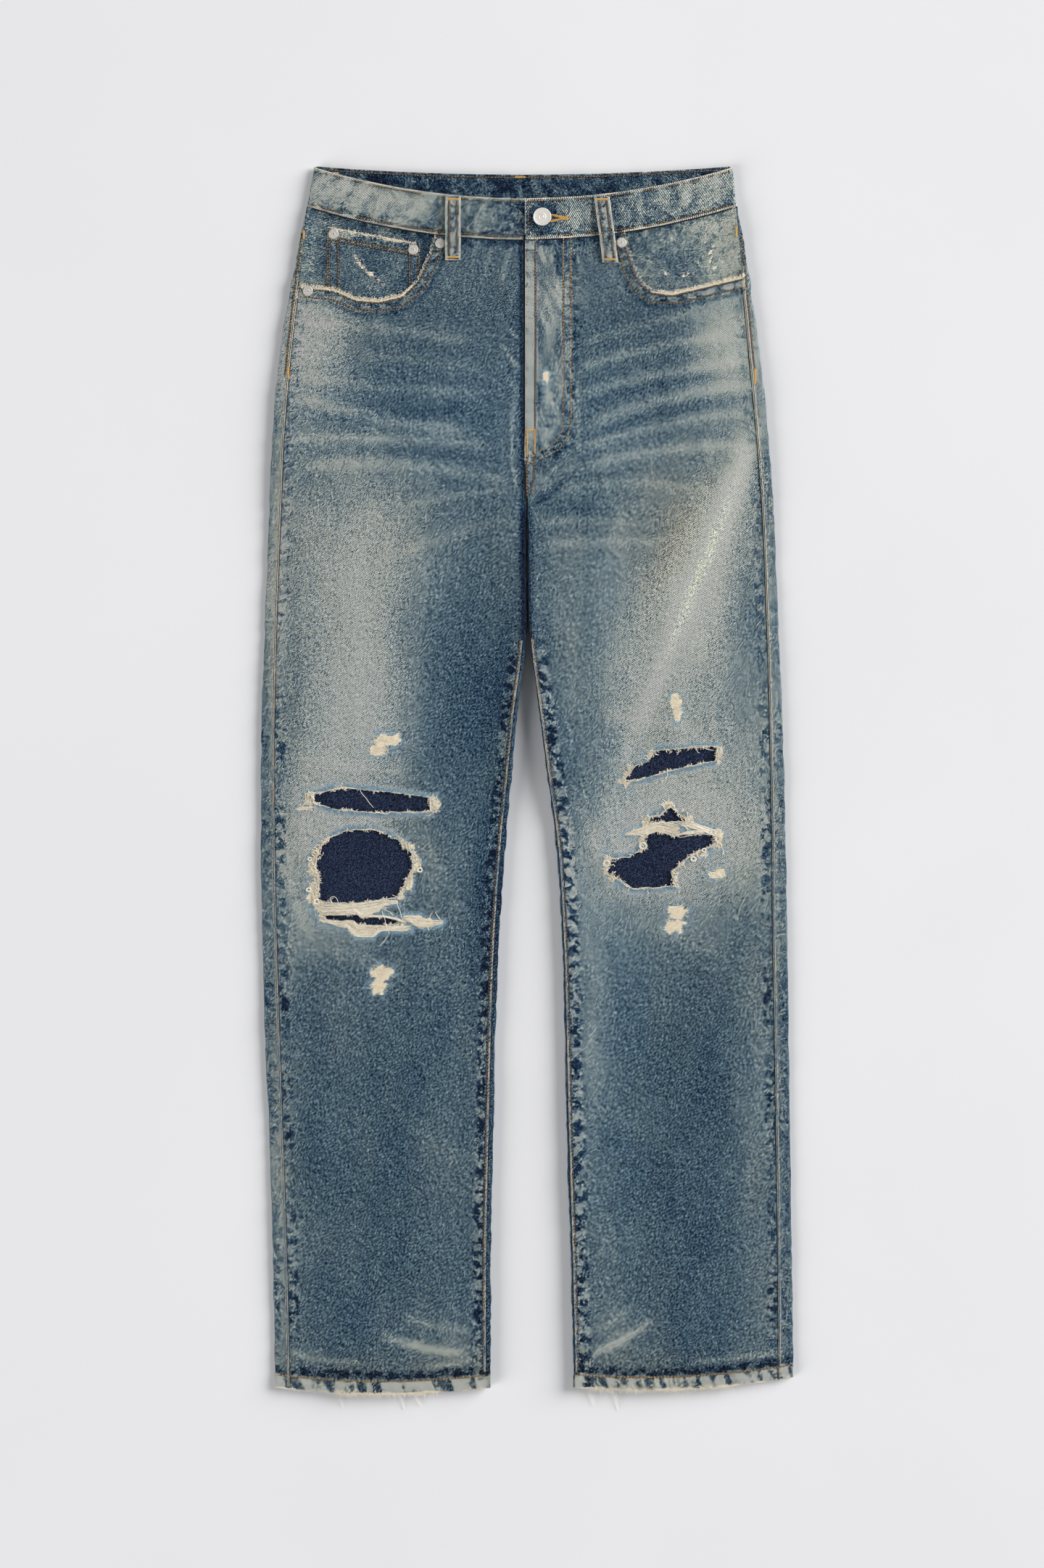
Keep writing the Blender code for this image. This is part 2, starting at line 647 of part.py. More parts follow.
def back_pocket(side, material):
    """A plain patch pocket with a shallow point, under the seat."""
    out = -1 if side == "r" else 1
    across = np.linspace(-1, 1, 7)
    up = np.linspace(0, 1, 5)
    x = out * BACK_POCKET["centre"] + 0.5 * BACK_POCKET["width"] * across
    low = BACK_POCKET["point"] + (BACK_POCKET["side"] - BACK_POCKET["point"]) * np.abs(across)
    y = low[None, :] + (BACK_POCKET["top"] - low[None, :]) * up[:, None]
    x = np.broadcast_to(x[None, :], y.shape)
    near = under_height(y) - GAP - 0.1
    shell(f"back_pocket_{side}", np.dstack([x, y, near - CLOTH]), np.dstack([x, y, near]), material)


def fasteners(brass, steel):
    """The shank button over the lapped band, and the rivets."""
    r = BUTTON_R
    button = ((0, 2.6), (4.6, 2.3), (5.9, 3.3), (r - 0.7, 3.2), (r, 2.3), (r - 0.5, 1.4), (2.6, 0.0),
              (0, 0.0))
    turned("waist_button", button, 20, *BUTTON_PLACE, 1.2 + GAP + 0.2, steel)
    rivet = ((0, 1.5), (1.6, 1.3), (2.2, 0.8), (3.6, 0.9), (RIVET_R, 0.2), (0, 0.0))
    for name, (x, y, sink) in RIVETS.items():
        turned(name, rivet, 12, x, y, GAP + 0.2 - sink, brass)


def main():
    clean_scene()
    denim = cloth_material("denim", (0.13, 0.19, 0.24))
    inner_denim = cloth_material("inner_denim", (0.045, 0.075, 0.12))
    patch_denim = cloth_material("patch_denim", (0.025, 0.037, 0.07))
    brass = cloth_material("aged_brass", (0.35, 0.3, 0.22), 0.45, 0.9)
    steel = cloth_material("pale_metal", (0.75, 0.72, 0.66), 0.35, 0.9)
    for side in ("r", "l"):
        front_panel(side, denim)
        back_panel(side, denim)
        yoke(side, denim)
        pocket_facing(side, inner_denim)
        knee_patch(side, patch_denim)
        back_pocket(side, denim)
    coin_pocket(denim)
    fly_shield(inner_denim)
    waistband(denim)
    for name, ends in FRONT_LOOPS.items():
        belt_loop(name, ends, False, denim)
    for name, ends in BACK_LOOPS.items():
        belt_loop(name, ends, True, denim)
    fasteners(brass, steel)


main()
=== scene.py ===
"""Looks of the ripped straight-leg jeans, laid flat on their back, front up.

Shapes are worked out in millimetres in the CAD's frame: +X is the wearer's left, +Y the waist and
+Z up. Each cloth piece is a thin closed shell on its solid's form, moved by seams, creases and
puckers. Fading is kept on its points as "wear", which also carries painted shade in crease
troughs, beside the crotch and inside the waistband's edges, and bare cotton as "cream".
Threads are tubes, joined into one mesh for each kind; the dark ones along seams, stitches
and edges are painted shade.
"""

import functools
import math

import bpy
import numpy as np
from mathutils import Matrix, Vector
from mathutils.geometry import delaunay_2d_cdt


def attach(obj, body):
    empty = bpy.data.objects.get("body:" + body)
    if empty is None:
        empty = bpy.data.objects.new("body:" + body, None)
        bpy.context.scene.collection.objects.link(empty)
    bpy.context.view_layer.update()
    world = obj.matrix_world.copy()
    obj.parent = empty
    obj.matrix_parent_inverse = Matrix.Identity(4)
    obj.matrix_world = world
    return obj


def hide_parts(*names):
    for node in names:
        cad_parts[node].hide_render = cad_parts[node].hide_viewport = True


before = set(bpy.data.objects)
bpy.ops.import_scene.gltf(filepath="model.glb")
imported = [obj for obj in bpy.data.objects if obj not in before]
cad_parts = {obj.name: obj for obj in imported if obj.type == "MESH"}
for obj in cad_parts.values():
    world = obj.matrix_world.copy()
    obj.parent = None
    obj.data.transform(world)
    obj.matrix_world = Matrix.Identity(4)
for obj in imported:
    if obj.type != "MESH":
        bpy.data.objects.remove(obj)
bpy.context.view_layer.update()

MM = 0.001
OUTWARD = {"r": -1, "l": 1}

# ---- sizes and section table of the CAD source
CLOTH = 1.3
BAND_CLOTH = 2.2
INNER_CLOTH = 1.0
HEM_CLOTH = 2.6
GAP = 0.3
FOLD_R = 2.6
LIFT = 2.2
BAND_SEAM = 521.0
BAND_TOP = 556.0
CROTCH = 251.0
CENTRE_SEAM = CROTCH + 4
HEM = -552.0
FRONT_DIP = 31.0
FRONT_TOP_DIP = 28.5
BACK_TOP_DIP = 7.5
HEM_SAG = 6.0
LEFT_HEM_RISE = 9.0
SECTION_COLUMNS = ("level", "r_edge", "l_edge", "r_inner", "l_inner", "top", "wrap")
SECTIONS = {
    "hem": (-552, -230.5, 242.0, -33.7, 41.6, 8.5, 14.5),
    "ankle": (-465, -231.7, 241.0, -33.7, 39.6, 8.5, 14.0),
    "calf": (-307, -236.3, 238.5, -31.0, 35.0, 9.0, 13.5),
    "shin": (-150, -241.6, 236.3, -26.4, 31.0, 9.6, 14.0),
    "knee": (-70, -242.9, 235.0, -21.1, 26.4, 10.2, 13.5),
    "mid_thigh": (50, -242.2, 231.7, -10.6, 11.9, 10.8, 12.5),
    "thigh": (142, -239.2, 228.0, -0.8, 1.0, 11.8, 11.5),
    "crotch": (251, -235.0, 223.5, -0.9, -0.6, 13.5, 11.5),
    "seat": (321, -231.8, 218.0, -2.65, -2.35, 15.0, 11.5),
    "hip": (406, -223.0, 209.0, -2.65, -2.35, 15.0, 10.5),
    "yoke": (485, -208.5, 197.0, -2.65, -2.35, 13.5, 6.0),
    "band": (521, -201.0, 190.0, -2.65, -2.35, 12.0, 2.6),
    "waist": (556, -194.0, 186.0, -2.65, -2.35, 11.5, 2.3),
}
# ---- broad folds of the CAD: both ends, half width and height
FOLDS = {
    "right_hip_high": (-48, 392, -190, 410, 11, 1.6),
    "right_hip_mid": (-36, 345, -205, 352, 12, 1.8),
    "right_hip_low": (-30, 300, -200, 285, 12, 1.6),
    "left_hip_high": (52, 392, 175, 402, 11, 1.5),
    "left_hip_mid": (48, 345, 195, 340, 12, 1.8),
    "left_hip_low": (30, 298, 195, 272, 12, 1.6),
    "right_crotch": (-14, 262, -120, 205, 12, 1.6),
    "left_crotch": (14, 262, 120, 210, 12, 1.6),
    "right_thigh": (-95, 190, -60, 30, 16, 1.2),
    "left_thigh": (150, 170, 95, 40, 16, 1.4),
    "right_calf": (-180, -190, -90, -260, 15, 1.2),
    "left_calf": (85, -180, 180, -250, 15, 1.2),
}
FLY_STITCH_X = 34.0
FLY_END = 290.0
FLY_RISE = 1.0
EDGE_RISE = 4.5
CROTCH_RISE = 7.0
POCKET_MOUTHS = {
    "r": ((-206, 448), (-176, 445), (-155, 436), (-135, 434.5), (-115, 439), (-101, 452),
          (-92, 470), (-85, 489), (-82, 500)),
    "l": ((196, 457), (156, 447), (131, 441), (113, 443), (103, 451), (96, 465), (90, 486), (86, 500)),
}
# ---- torn holes: their outlines in plan
TORN_HOLES = {
    "r_slot": ((-195, -13), (-168, -8), (-141, -10), (-113, -13), (-89, -17), (-89, -29), (-137, -30),
               (-174, -27), (-194, -21)),
    "r_knee": ((-179, -52), (-164, -46), (-139, -45), (-118, -55), (-105, -67), (-105, -79), (-111, -94),
               (-120, -107), (-141, -110), (-156, -112), (-191, -111), (-189, -90), (-193, -78),
               (-188, -60)),
    "r_slit": ((-186, -123), (-158, -122), (-150, -125), (-132, -124), (-115, -130), (-126, -132),
               (-154, -132), (-158, -129), (-183, -128)),
    "l_slot": ((86, -3), (92, 5), (97, 12), (110, 16), (116, 26), (149, 29), (172, 30), (170, 17),
               (149, 13), (131, 9), (104, 1)),
    "l_nick": ((110, -39), (112, -34), (120, -32), (130, -25), (136, -31), (145, -37), (131, -38)),
    "l_knee": ((105, -55), (107, -50), (119, -47), (131, -52), (136, -50), (170, -50), (171, -57),
               (155, -65), (141, -73), (130, -84), (134, -96), (118, -98), (97, -99), (86, -93), (72, -85),
               (75, -72), (92, -71), (99, -66), (108, -62)),
}
NEAR_HOLE = 9.0
NOT_NEAR = 1e3
UNDER_FRONT = CLOTH + GAP
FACING_SINK = UNDER_FRONT + INNER_CLOTH + GAP
FACING_BOTTOM = 413.0
POCKET_SCRATCH = (-160, 478, -128, 450)
FACING_CHIPS = ((125, 459, 3, 2.5), (144, 458, 6, 3), (167, 465, 4, 2), (169, 486, 3, 2), (167, 476, 2, 6))
COIN_POCKET = {"outer": -182.0, "inner": -98.0, "bottom": 424.0, "top_outer": 502.0, "top_inner": 486.5}
BACK_POCKET = {"centre": 106.0, "width": 142.0, "top": 428.0, "side": 292.0, "point": 270.0}
YOKE_CENTRE = 452.0
YOKE_SIDE = 484.0
BACK_SLOPE = 390.0
LOOP_WIDTH = 14.0
LOOP_CLOTH = 1.6
LOOP_BOW = 1.9
LOOP_LIFT = 0.75
FRONT_LOOPS = {
    "belt_loop_front_r": (-68, 529, -68, 471),
    "belt_loop_front_l": (67, 529, 75, 469),
}
BACK_LOOPS = {
    "belt_loop_side_r": (-176, 553, -178, 497),
    "belt_loop_side_l": (168, 553, 170, 497),
    "belt_loop_back": (-6, 549, -6, 489),
}
BUTTON_PLACE = (13.0, 510.0)
BUTTON_R = 8.3
RIVET_R = 4.6
BAND_LAP = 28.0
LAP_RISE = 1.2
OFF_GROUND = 0.05
THREAD_OFF_GROUND = 0.02
SHARP_EDGE = 50
RING_STEP = 0.42
# ---- in cut_out: how far from an outline quads are kept whole or dropped, and where finer rings lie
KEEP_FROM = 4.2
DROP_FROM = -3.9
FINER_RINGS = (1.3, 2.8)
TWILL_PITCH = 1.13
RIVETS = {
    "rivet_hip_r": (-199.5, 443.5, 0.0),
    "rivet_front_r": (-79.5, 486.5, 0.0),
    "rivet_front_l": (85.0, 487.0, 0.0),
    "rivet_coin_out": (-176.5, 495.5, CLOTH + GAP),
    "rivet_coin_in": (-104.0, 481.0, CLOTH + GAP),
}

# ---- creases: both ends, how far the middle bows out, half width, height of the
# ridge (a trough if less than 0), and how much paler its crest is worn; where less than 0, how much
# darker its trough is, which is painted shade
CREASES = {
    "r_whisker_1": (-52, 396, -200, 414, 3, 6.0, 0.5, 0.07),
    "r_whisker_2": (-45, 372, -150, 384, 2, 6.0, 0.4, 0.05),
    "r_whisker_3": (-40, 350, -205, 366, -3, 7.0, 0.4, 0.06),
    "r_whisker_4": (-55, 316, -206, 346, -4, 7.0, 0.7, 0.10),
    "r_whisker_5": (-38, 303, -222, 310, 3, 6.0, 0.6, 0.08),
    "r_whisker_6": (-18, 270, -205, 284, 8, 7.0, 0.5, 0.07),
    "r_whisker_7": (-16, 262, -110, 248, 3, 5.0, 0.4, 0.06),
    "r_whisker_8": (-20, 236, -120, 206, 0, 8.0, 0.4, 0.04),
    "r_dark_1": (-60, 336, -190, 328, -2, 6.0, -0.5, -0.07),
    "r_dark_2": (-60, 294, -200, 296, 3, 5.0, -0.4, -0.06),
    "r_dark_3": (-50, 420, -100, 424, 0, 8.0, -0.4, -0.05),
    "l_whisker_1": (52, 396, 165, 426, -2, 6.0, 0.5, 0.06),
    "l_whisker_2": (48, 374, 180, 403, -3, 6.0, 0.5, 0.09),
    "l_whisker_3": (50, 351, 190, 379, -3, 6.0, 0.5, 0.08),
    "l_whisker_4": (60, 324, 199, 358, -5, 7.0, 0.7, 0.10),
    "l_whisker_5": (48, 300, 200, 333, -5, 6.0, 0.6, 0.08),
    "l_whisker_6": (45, 281, 196, 303, -6, 7.0, 0.5, 0.09),
    "l_whisker_7": (16, 262, 160, 262, -7, 6.0, 0.4, 0.06),
    "l_whisker_8": (10, 233, 95, 232, -2, 5.0, 0.4, 0.05),
    "l_whisker_9": (10, 212, 120, 214, -3, 6.0, 0.4, 0.06),
    "l_dark_1": (60, 312, 190, 343, -5, 4.0, -0.5, -0.07),
    "l_dark_2": (50, 338, 170, 366, -4, 4.0, -0.4, -0.06),
    "l_dark_3": (10, 244, 75, 242, -2, 4.0, -0.5, -0.07),
    "fly_pucker_1": (-20, 414, -7, 399, 1, 1.8, 0.6, 0.18),
    "fly_pucker_2": (-20, 391, -6, 373, 2, 1.8, 0.6, 0.20),
    "fly_pucker_3": (-18, 364, -8, 351, 1, 1.6, 0.5, 0.16),
    "fly_ridge": (-12, 346, -11, 268, 3, 2.4, 0.9, 0.12),
    "fly_trough": (-6.5, 486, -5.0, 258, 0, 2.2, -0.6, -0.30),
    "fly_top_1": (-13, 487, -24, 446, 2, 3.0, 0.7, 0.09),
    "fly_top_2": (-30, 488, -40, 452, 2, 3.4, 0.5, 0.06),
    "fly_top_3": (-46, 490, -50, 464, 1, 2.4, 0.4, 0.05),
    "fly_top_4": (-9, 452, -17, 424, 1, 2.2, 0.5, 0.09),
    "flap_fold_1": (9, 339, 28, 338, 0, 1.6, -0.4, -0.20),
    "flap_fold_2": (10, 330, 34, 331, 1, 1.6, -0.4, -0.18),
    "flap_fold_3": (9, 322, 30, 317, -1, 1.8, -0.5, -0.22),
    "flap_fold_4": (10, 309, 24, 308, 1, 1.6, -0.4, -0.18),
    "flap_fold_5": (9, 361, 22, 352, 1, 1.6, -0.3, -0.14),
    "flap_fold_6": (12, 488, 20, 462, 3, 1.8, 0.5, 0.12),
    "flap_fold_7": (22, 488, 29, 440, 2, 2.0, 0.5, 0.12),
    "flap_low_1": (14, 272, 30, 292, 2, 2.2, 0.4, 0.12),
    "flap_low_2": (10, 286, 14, 270, 1, 1.8, 0.4, 0.14),
    "flap_side_1": (44, 356, 46, 300, -1, 2.4, 0.5, 0.10),
    "flap_side_2": (43, 488, 49, 462, 1, 2.2, 0.5, 0.12),
    "flap_side_3": (56, 487, 58, 466, 1, 2.2, 0.4, 0.08),
    "flap_side_4": (41.5, 460, 42, 360, 0, 1.8, -0.3, -0.10),
    "crotch_ridge": (4, 262, 48, 296, 5, 5.0, 1.1, 0.05),
    "crotch_trough": (2, 249, 34, 272, 2, 4.0, -1.0, -0.20),
    "crotch_right": (-5, 258, -5, 180, 0, 4.0, -0.8, -0.18),
    "r_inner_thigh": (-8, 170, -26, 60, 2, 8.0, -0.6, -0.06),
    "l_inner_thigh": (12, 150, 30, 40, -2, 9.0, -0.5, -0.04),
    "l_thigh_fold": (192, 300, 128, 30, 3, 11.0, 0.9, 0.0),
    "r_knee_top": (-205, 18, -110, 8, 2, 7.0, 0.4, 0.04),
    "r_knee_side": (-222, -60, -200, -140, 3, 6.0, 0.5, 0.05),
    "r_knee_in": (-92, -60, -60, -130, -3, 8.0, 0.5, 0.03),
    "r_shin_1": (-190, -150, -120, -172, 2, 7.0, 0.4, 0.03),
    "r_shin_2": (-120, -300, -60, -350, 2, 10.0, 0.5, 0.03),
    "r_hem_1": (-128, -506, -58, -521, 3, 5.0, 0.7, 0.16),
    "r_hem_2": (-118, -486, -56, -500, 2, 5.0, 0.4, 0.07),
    "r_hem_3": (-220, -520, -150, -530, 2, 3.5, 0.5, 0.10),
    "r_hem_4": (-95, -534, -50, -526, 1, 3.0, 0.4, 0.10),
    "l_knee_top": (70, 60, 150, 44, -2, 7.0, 0.4, 0.04),
    "l_knee_in": (48, -20, 80, -96, 3, 8.0, 0.5, 0.04),
    "l_shin_1": (95, -130, 175, -160, -2, 7.0, 0.4, 0.03),
    "l_shin_2": (70, -300, 150, -350, -2, 10.0, 0.5, 0.02),
    "l_hem_1": (58, -522, 112, -492, 2, 5.0, 0.7, 0.14),
    "l_hem_2": (60, -500, 96, -478, 2, 4.0, 0.4, 0.06),
    "l_hem_3": (150, -528, 232, -520, 1, 3.5, 0.5, 0.08),
}

# ---- soft fades: middle, half width, half height, turn in degrees, and how much paler; the two darker ones on the right inner thigh, beside the crotch, are painted shade
FADES = {
    "r_hip_out": (-195, 405, 42, 62, 0, 0.24),
    "r_hip_low": (-175, 295, 45, 50, 0, 0.08),
    "r_outer": (-218, 285, 26, 130, 0, 0.08),
    "r_edge": (-228, 170, 9, 130, 0, 0.14),
    "r_thigh_high": (-150, 185, 62, 95, 0, 0.22),
    "r_thigh_low": (-150, 60, 44, 75, 0, 0.22),
    "l_hip_top": (95, 468, 26, 26, 0, 0.09),
    # painted shade on the right inner thigh beside the crotch
    "r_thigh_in_shade": (-58, 62, 34, 95, 0, -0.06),
    "r_inner_shade": (-30, 100, 26, 140, 0, -0.03),
    "r_knee": (-165, -60, 60, 75, 0, 0.24),
    "r_knee_out": (-205, -40, 30, 110, 0, 0.10),
    "r_knee_in": (-34, -140, 18, 80, 0, -0.12),
    "r_shin_dark": (-150, -350, 75, 160, 0, -0.05),
    "r_shin_edge": (-226, -370, 18, 200, 0, 0.13),
    "r_hem_pale": (-85, -505, 50, 32, 0, 0.06),
    "fly_flap": (16, 400, 12, 90, 0, 0.12),
    "fly_upper": (30, 440, 26, 18, 0, 0.13),
    "fly_edge": (2.5, 400, 5, 130, 0, 0.17),
    "fly_rows": (36.5, 400, 6, 100, 0, 0.13),
    "l_hip_out": (188, 400, 34, 52, 0, 0.27),
    "l_hip_mid": (130, 330, 55, 70, 0, 0.02),
    "l_streak": (150, 172, 8, 120, -22, 0.40),
    "l_streak_top": (184, 262, 12, 50, -16, 0.18),
    "l_streak_wide": (156, 200, 32, 100, -22, 0.14),
    "l_thigh": (152, 132, 52, 135, -8, 0.22),
    "l_thigh_in": (85, 125, 38, 110, 0, 0.10),
    "l_inner_edge": (38, 150, 16, 110, 0, 0.08),
    "l_outer": (216, 40, 20, 210, 0, 0.06),
    "l_knee": (140, -55, 60, 85, 0, 0.29),
    "l_knee_in": (75, -60, 40, 90, 0, 0.10),
    "l_knee_out": (195, -10, 30, 80, 0, 0.08),
    "l_shin_dark": (160, -350, 50, 170, 0, -0.05),
    "l_shin_in": (58, -240, 20, 150, 0, 0.12),
    "l_shin_edge": (212, -330, 24, 200, 0, 0.09),
    "l_hem_pale": (85, -500, 35, 30, 0, 0.06),
}
BASE_WEAR = 0.31

# ---- where the cloth is yellower or bluer: middle, half width, half height, how much
TONES = {
    "hips": (-60, 325, 190, 55, -0.28),
    "r_outer": (-205, 200, 35, 100, 0.06),
    "r_thigh": (-155, 95, 50, 90, -0.16),
    "r_inner": (-70, 110, 40, 260, -0.12),
    "l_streak": (140, 215, 34, 60, 0.50),
    "l_thigh": (192, 100, 30, 90, -0.22),
    "l_inner": (72, -100, 34, 300, -0.42),
    "hems": (0, -545, 400, 25, 0.40),
}

# ---- spots rubbed down to the cotton: middle, half width, half height
RUBBED = {
    "r_above_1": (-129, 36, 12, 5),
    "r_above_2": (-136, 26, 9, 5),
    "r_below_1": (-133, -175, 10, 6),
    "r_below_2": (-136, -188, 8, 7),
    "l_above_1": (134, 70, 5, 8),
    "l_above_2": (136, 59, 4, 7),
    "l_right": (173, -86, 9, 4),
    "l_below_1": (136, -120, 8, 6),
    "l_below_2": (133, -133, 9, 6),
    "fly_spot": (17, 365, 3, 6),
}


# ---- bare weft left lying across the knees: the upper and the lower edge of each patch of it
BARE_WEFT = {
    "r_above_slit": (((-193, -112.5), (-180, -113), (-155, -113), (-146, -111.5), (-138, -109.4),
                      (-120, -109.6)),
                     ((-193, -118), (-186, -122.8), (-167, -122.4), (-156, -121.3), (-151, -123.8),
                      (-143, -122.4), (-136, -119.5), (-130, -114), (-120, -113))),
    "r_slit_top": (((-153, -123.2), (-131, -123.2), (-120, -125.4), (-112, -129)),
                   ((-153, -124.4), (-131, -124.6), (-120, -127), (-112, -130.6))),
    "r_below_slit": (((-188, -127.5), (-158, -128.6), (-154, -133), (-139, -132.5), (-113, -132)),
                     ((-188, -128.5), (-172, -133), (-164, -133.8), (-160, -140.4), (-154, -143.2),
                      (-139, -142.8), (-136, -138), (-113, -134))),
    "r_slit_tail": (((-140, -133), (-125, -134), (-108, -133)),
                    ((-140, -137), (-122, -137.8), (-108, -136.4))),
    "r_tail": (((-113, -123.6), (-101, -123.2), (-90, -127), (-79, -128)),
               ((-113, -128), (-105, -130.5), (-101, -133.5), (-90, -134.6), (-79, -131))),
    "l_between": (((89, -48.4), (103, -43.9), (110, -41), (120, -38), (127, -39), (136, -41)),
                  ((89, -49.8), (102, -50.6), (106, -53), (109, -49.8), (117, -46.8), (123, -48.6),
                   (130, -50.4), (133, -53), (136, -50))),
    "l_tail": (((134, -49.4), (150, -47), (166, -44.6)), ((134, -51), (150, -48.8), (166, -46.4))),
    "l_right": (((139, -38.5), (150, -38.5), (158, -42), (170, -46)),
                ((139, -42.5), (150, -44), (158, -46), (170, -52))),
}

# ---- cream tufts at the torn rims: middle, half width, half height
TUFTS = {
    "r_slot_left": (-198, -17.5, 4.5, 5.5),
    "r_slot_yarns": (-201, -25.5, 8.5, 1.8),
    "r_slot_top": (-169, -7.0, 7, 2.0),
    "r_slot_right": (-84.5, -23, 4.2, 6.5),
    "r_knee_left_1": (-191, -66, 4, 6),
    "r_knee_left_2": (-195, -80, 4, 8),
    "r_knee_left_3": (-194, -98, 4.5, 8),
    "r_knee_left_4": (-195, -108, 5, 6),
    "r_knee_right_1": (-109, -61, 6, 4),
    "r_knee_right_2": (-101, -76, 3.5, 7),
    "r_knee_right_3": (-108, -94, 3.5, 6),
    "r_knee_right_4": (-116, -106, 4, 3),
    "l_slot_left": (89, -1, 3.2, 5),
    "l_slot_high": (111.5, 24, 4.0, 2.6),
    "l_slot_teeth": (134, 26.5, 5, 1.8),
    "l_slot_right": (173.6, 22, 2.4, 7),
    "l_nick_top": (126.5, -22.5, 5, 3.2),
    "l_nick_left": (107.5, -37.5, 4, 4),
    "l_nick_right": (146, -36, 5.5, 4),
    "l_knee_high": (104.5, -57.5, 3.2, 7),
    "l_knee_left": (72.5, -76, 4, 7),
    "l_knee_low_left": (77, -88, 4, 4),
    "l_knee_right": (173, -54, 4.5, 9),
    "l_knee_slant": (156, -67.5, 7, 3),
    "l_knee_in": (133.5, -89, 2.2, 7),
}

# ---- yarns curled into rings: middle and radius
CURLS = ((-191.8, -110.8, 2.6), (-199, -100, 2.2), (-198, -72, 1.8), (-98, -82, 2.4), (71.7, -76, 3.2),
         (104.7, -60, 3.6), (168.3, -47.7, 2.8), (150.5, -72, 2.6), (160, -64, 2.0))


# ---------------------------------------------------------------- numbers

def smoothstep(value, low, high):
    """0 below low, 1 above high, smooth between; low may be the larger."""
    t = np.clip((np.asarray(value, float) - low) / (high - low), 0.0, 1.0)
    return t * t * (3.0 - 2.0 * t)


def band(value, low, high, soft):
    """1 between low and high, with soft ends outside them."""
    return smoothstep(value, low - soft, low) * smoothstep(value, high + soft, high)


def bell(value, width):
    """1 where value is 0, falling off within about width of it."""
    return np.exp(-(value / width) ** 2)


def blob(x, y, cx, cy, rx, ry):
    """1 in the middle of an oval, falling off softly round it."""
    return np.exp(-((x - cx) / rx) ** 2 - ((y - cy) / ry) ** 2)


def hashed(i, j, seed):
    """A number from -1 to 1 for each cell of a lattice."""
    n = np.asarray(i, np.int64) * 374761393 + np.asarray(j, np.int64) * 668265263 + seed * 144269504
    n = n & 0xFFFFFFFF
    n = ((n ^ (n >> 13)) * 1274126177) & 0xFFFFFFFF
    n = n ^ (n >> 16)
    return (n & 0xFFFF) / 32767.5 - 1.0


def noise(x, y, seed):
    """Smooth noise, from -1 to 1, with lumps one unit wide."""
    x, y = np.broadcast_arrays(np.asarray(x, float), np.asarray(y, float))
    i, j = np.floor(x), np.floor(y)
    u, v = x - i, y - j
    u = u * u * (3 - 2 * u)
    v = v * v * (3 - 2 * v)
    low = hashed(i, j, seed) * (1 - u) + hashed(i + 1, j, seed) * u
    high = hashed(i, j + 1, seed) * (1 - u) + hashed(i + 1, j + 1, seed) * u
    return low * (1 - v) + high * v


def fbm(x, y, seed, octaves=3):
    """Noise with finer noise on it; x and y are already divided by the size of its lumps."""
    total = 0.0
    for k in range(octaves):
        total = total + 0.5 ** k * noise(x * 2 ** k + 31 * k, y * 2 ** k - 17 * k, seed + k)
    return total


# ---------------------------------------------------------------- the garment's form

def section_column(name):
    """One column of the section table, from the hem up, with the slope at each row."""
    rows = np.array(list(SECTIONS.values()), float)
    level = rows[:, 0]
    value = rows[:, SECTION_COLUMNS.index(name)]
    step = np.diff(value) / np.diff(level)
    slope = np.zeros(len(value))
    same_way = step[1:] * step[:-1] > 0
    slope[1:-1] = np.where(same_way, 0.5 * (step[1:] + step[:-1]), 0.0)
    limit = 3.0 * np.minimum(abs(step[1:]), abs(step[:-1]))
    slope[1:-1] = np.clip(slope[1:-1], -limit, limit)
    slope[0] = step[0]
    slope[-1] = step[-1]
    return level, value, slope


COLUMNS = {name: section_column(name) for name in SECTION_COLUMNS[1:]}


def at(level, name):
    """A section size at any level, on a smooth curve through the table's rows."""
    rows, value, slope = COLUMNS[name]
    level = np.clip(np.asarray(level, float), rows[0], rows[-1])
    i = np.clip(np.searchsorted(rows, level) - 1, 0, len(rows) - 2)
    span = rows[i + 1] - rows[i]
    t = (level - rows[i]) / span
    before = value[i] * (1 + 2 * t) * (1 - t) ** 2 + slope[i] * span * t * (1 - t) ** 2
    after = value[i + 1] * t * t * (3 - 2 * t) - slope[i + 1] * span * t * t * (1 - t)
    return before + after


def torso_place(x, level):
    """-1 at the right side fold, 0 in the middle and 1 at the left side fold."""
    right = at(level, "r_edge")
    left = at(level, "l_edge")
    return (2 * x - right - left) / (left - right)


def leg_split(level):
    """Where the right leg ends and the left one begins."""
    return 0.5 * (at(level, "r_inner") + at(level, "l_inner"))


def leg_place(x, level):
    """The same across the leg that x is on."""
    on_right = x < leg_split(level)
    outer = np.where(on_right, at(level, "r_edge"), at(level, "l_edge"))
    inner = np.where(on_right, at(level, "r_inner"), at(level, "l_inner"))
    return (2 * x - inner - outer) / (inner - outer)


def crown(place):
    """Height of a laid tube across its width: 0 at its folds and 1 along its middle."""
    return np.clip(1 - np.asarray(place) ** 2, 0, 1) ** 0.75


def under_height(level):
    """Height of the back's under face."""
    return LIFT * smoothstep(level, 225, 275)


def along_line(x, y, x0, y0, x1, y1):
    """Places measured along and across a line, and its length."""
    length = math.hypot(x1 - x0, y1 - y0)
    along = ((x - x0) * (x1 - x0) + (y - y0) * (y1 - y0)) / length
    across = ((x - x0) * (y1 - y0) - (y - y0) * (x1 - x0)) / length
    return along, across, length


def stroke(x, y, x0, y0, x1, y1, bow, width, fade):
    """1 along a line with soft sides and ends, whose middle bows out."""
    along, across, length = along_line(x, y, x0, y0, x1, y1)
    t = np.clip(along / length, 0, 1)
    ends = smoothstep(along, -fade, fade) * smoothstep(along, length + fade, length - fade)
    return ends * bell(across - 4 * bow * t * (1 - t), width)


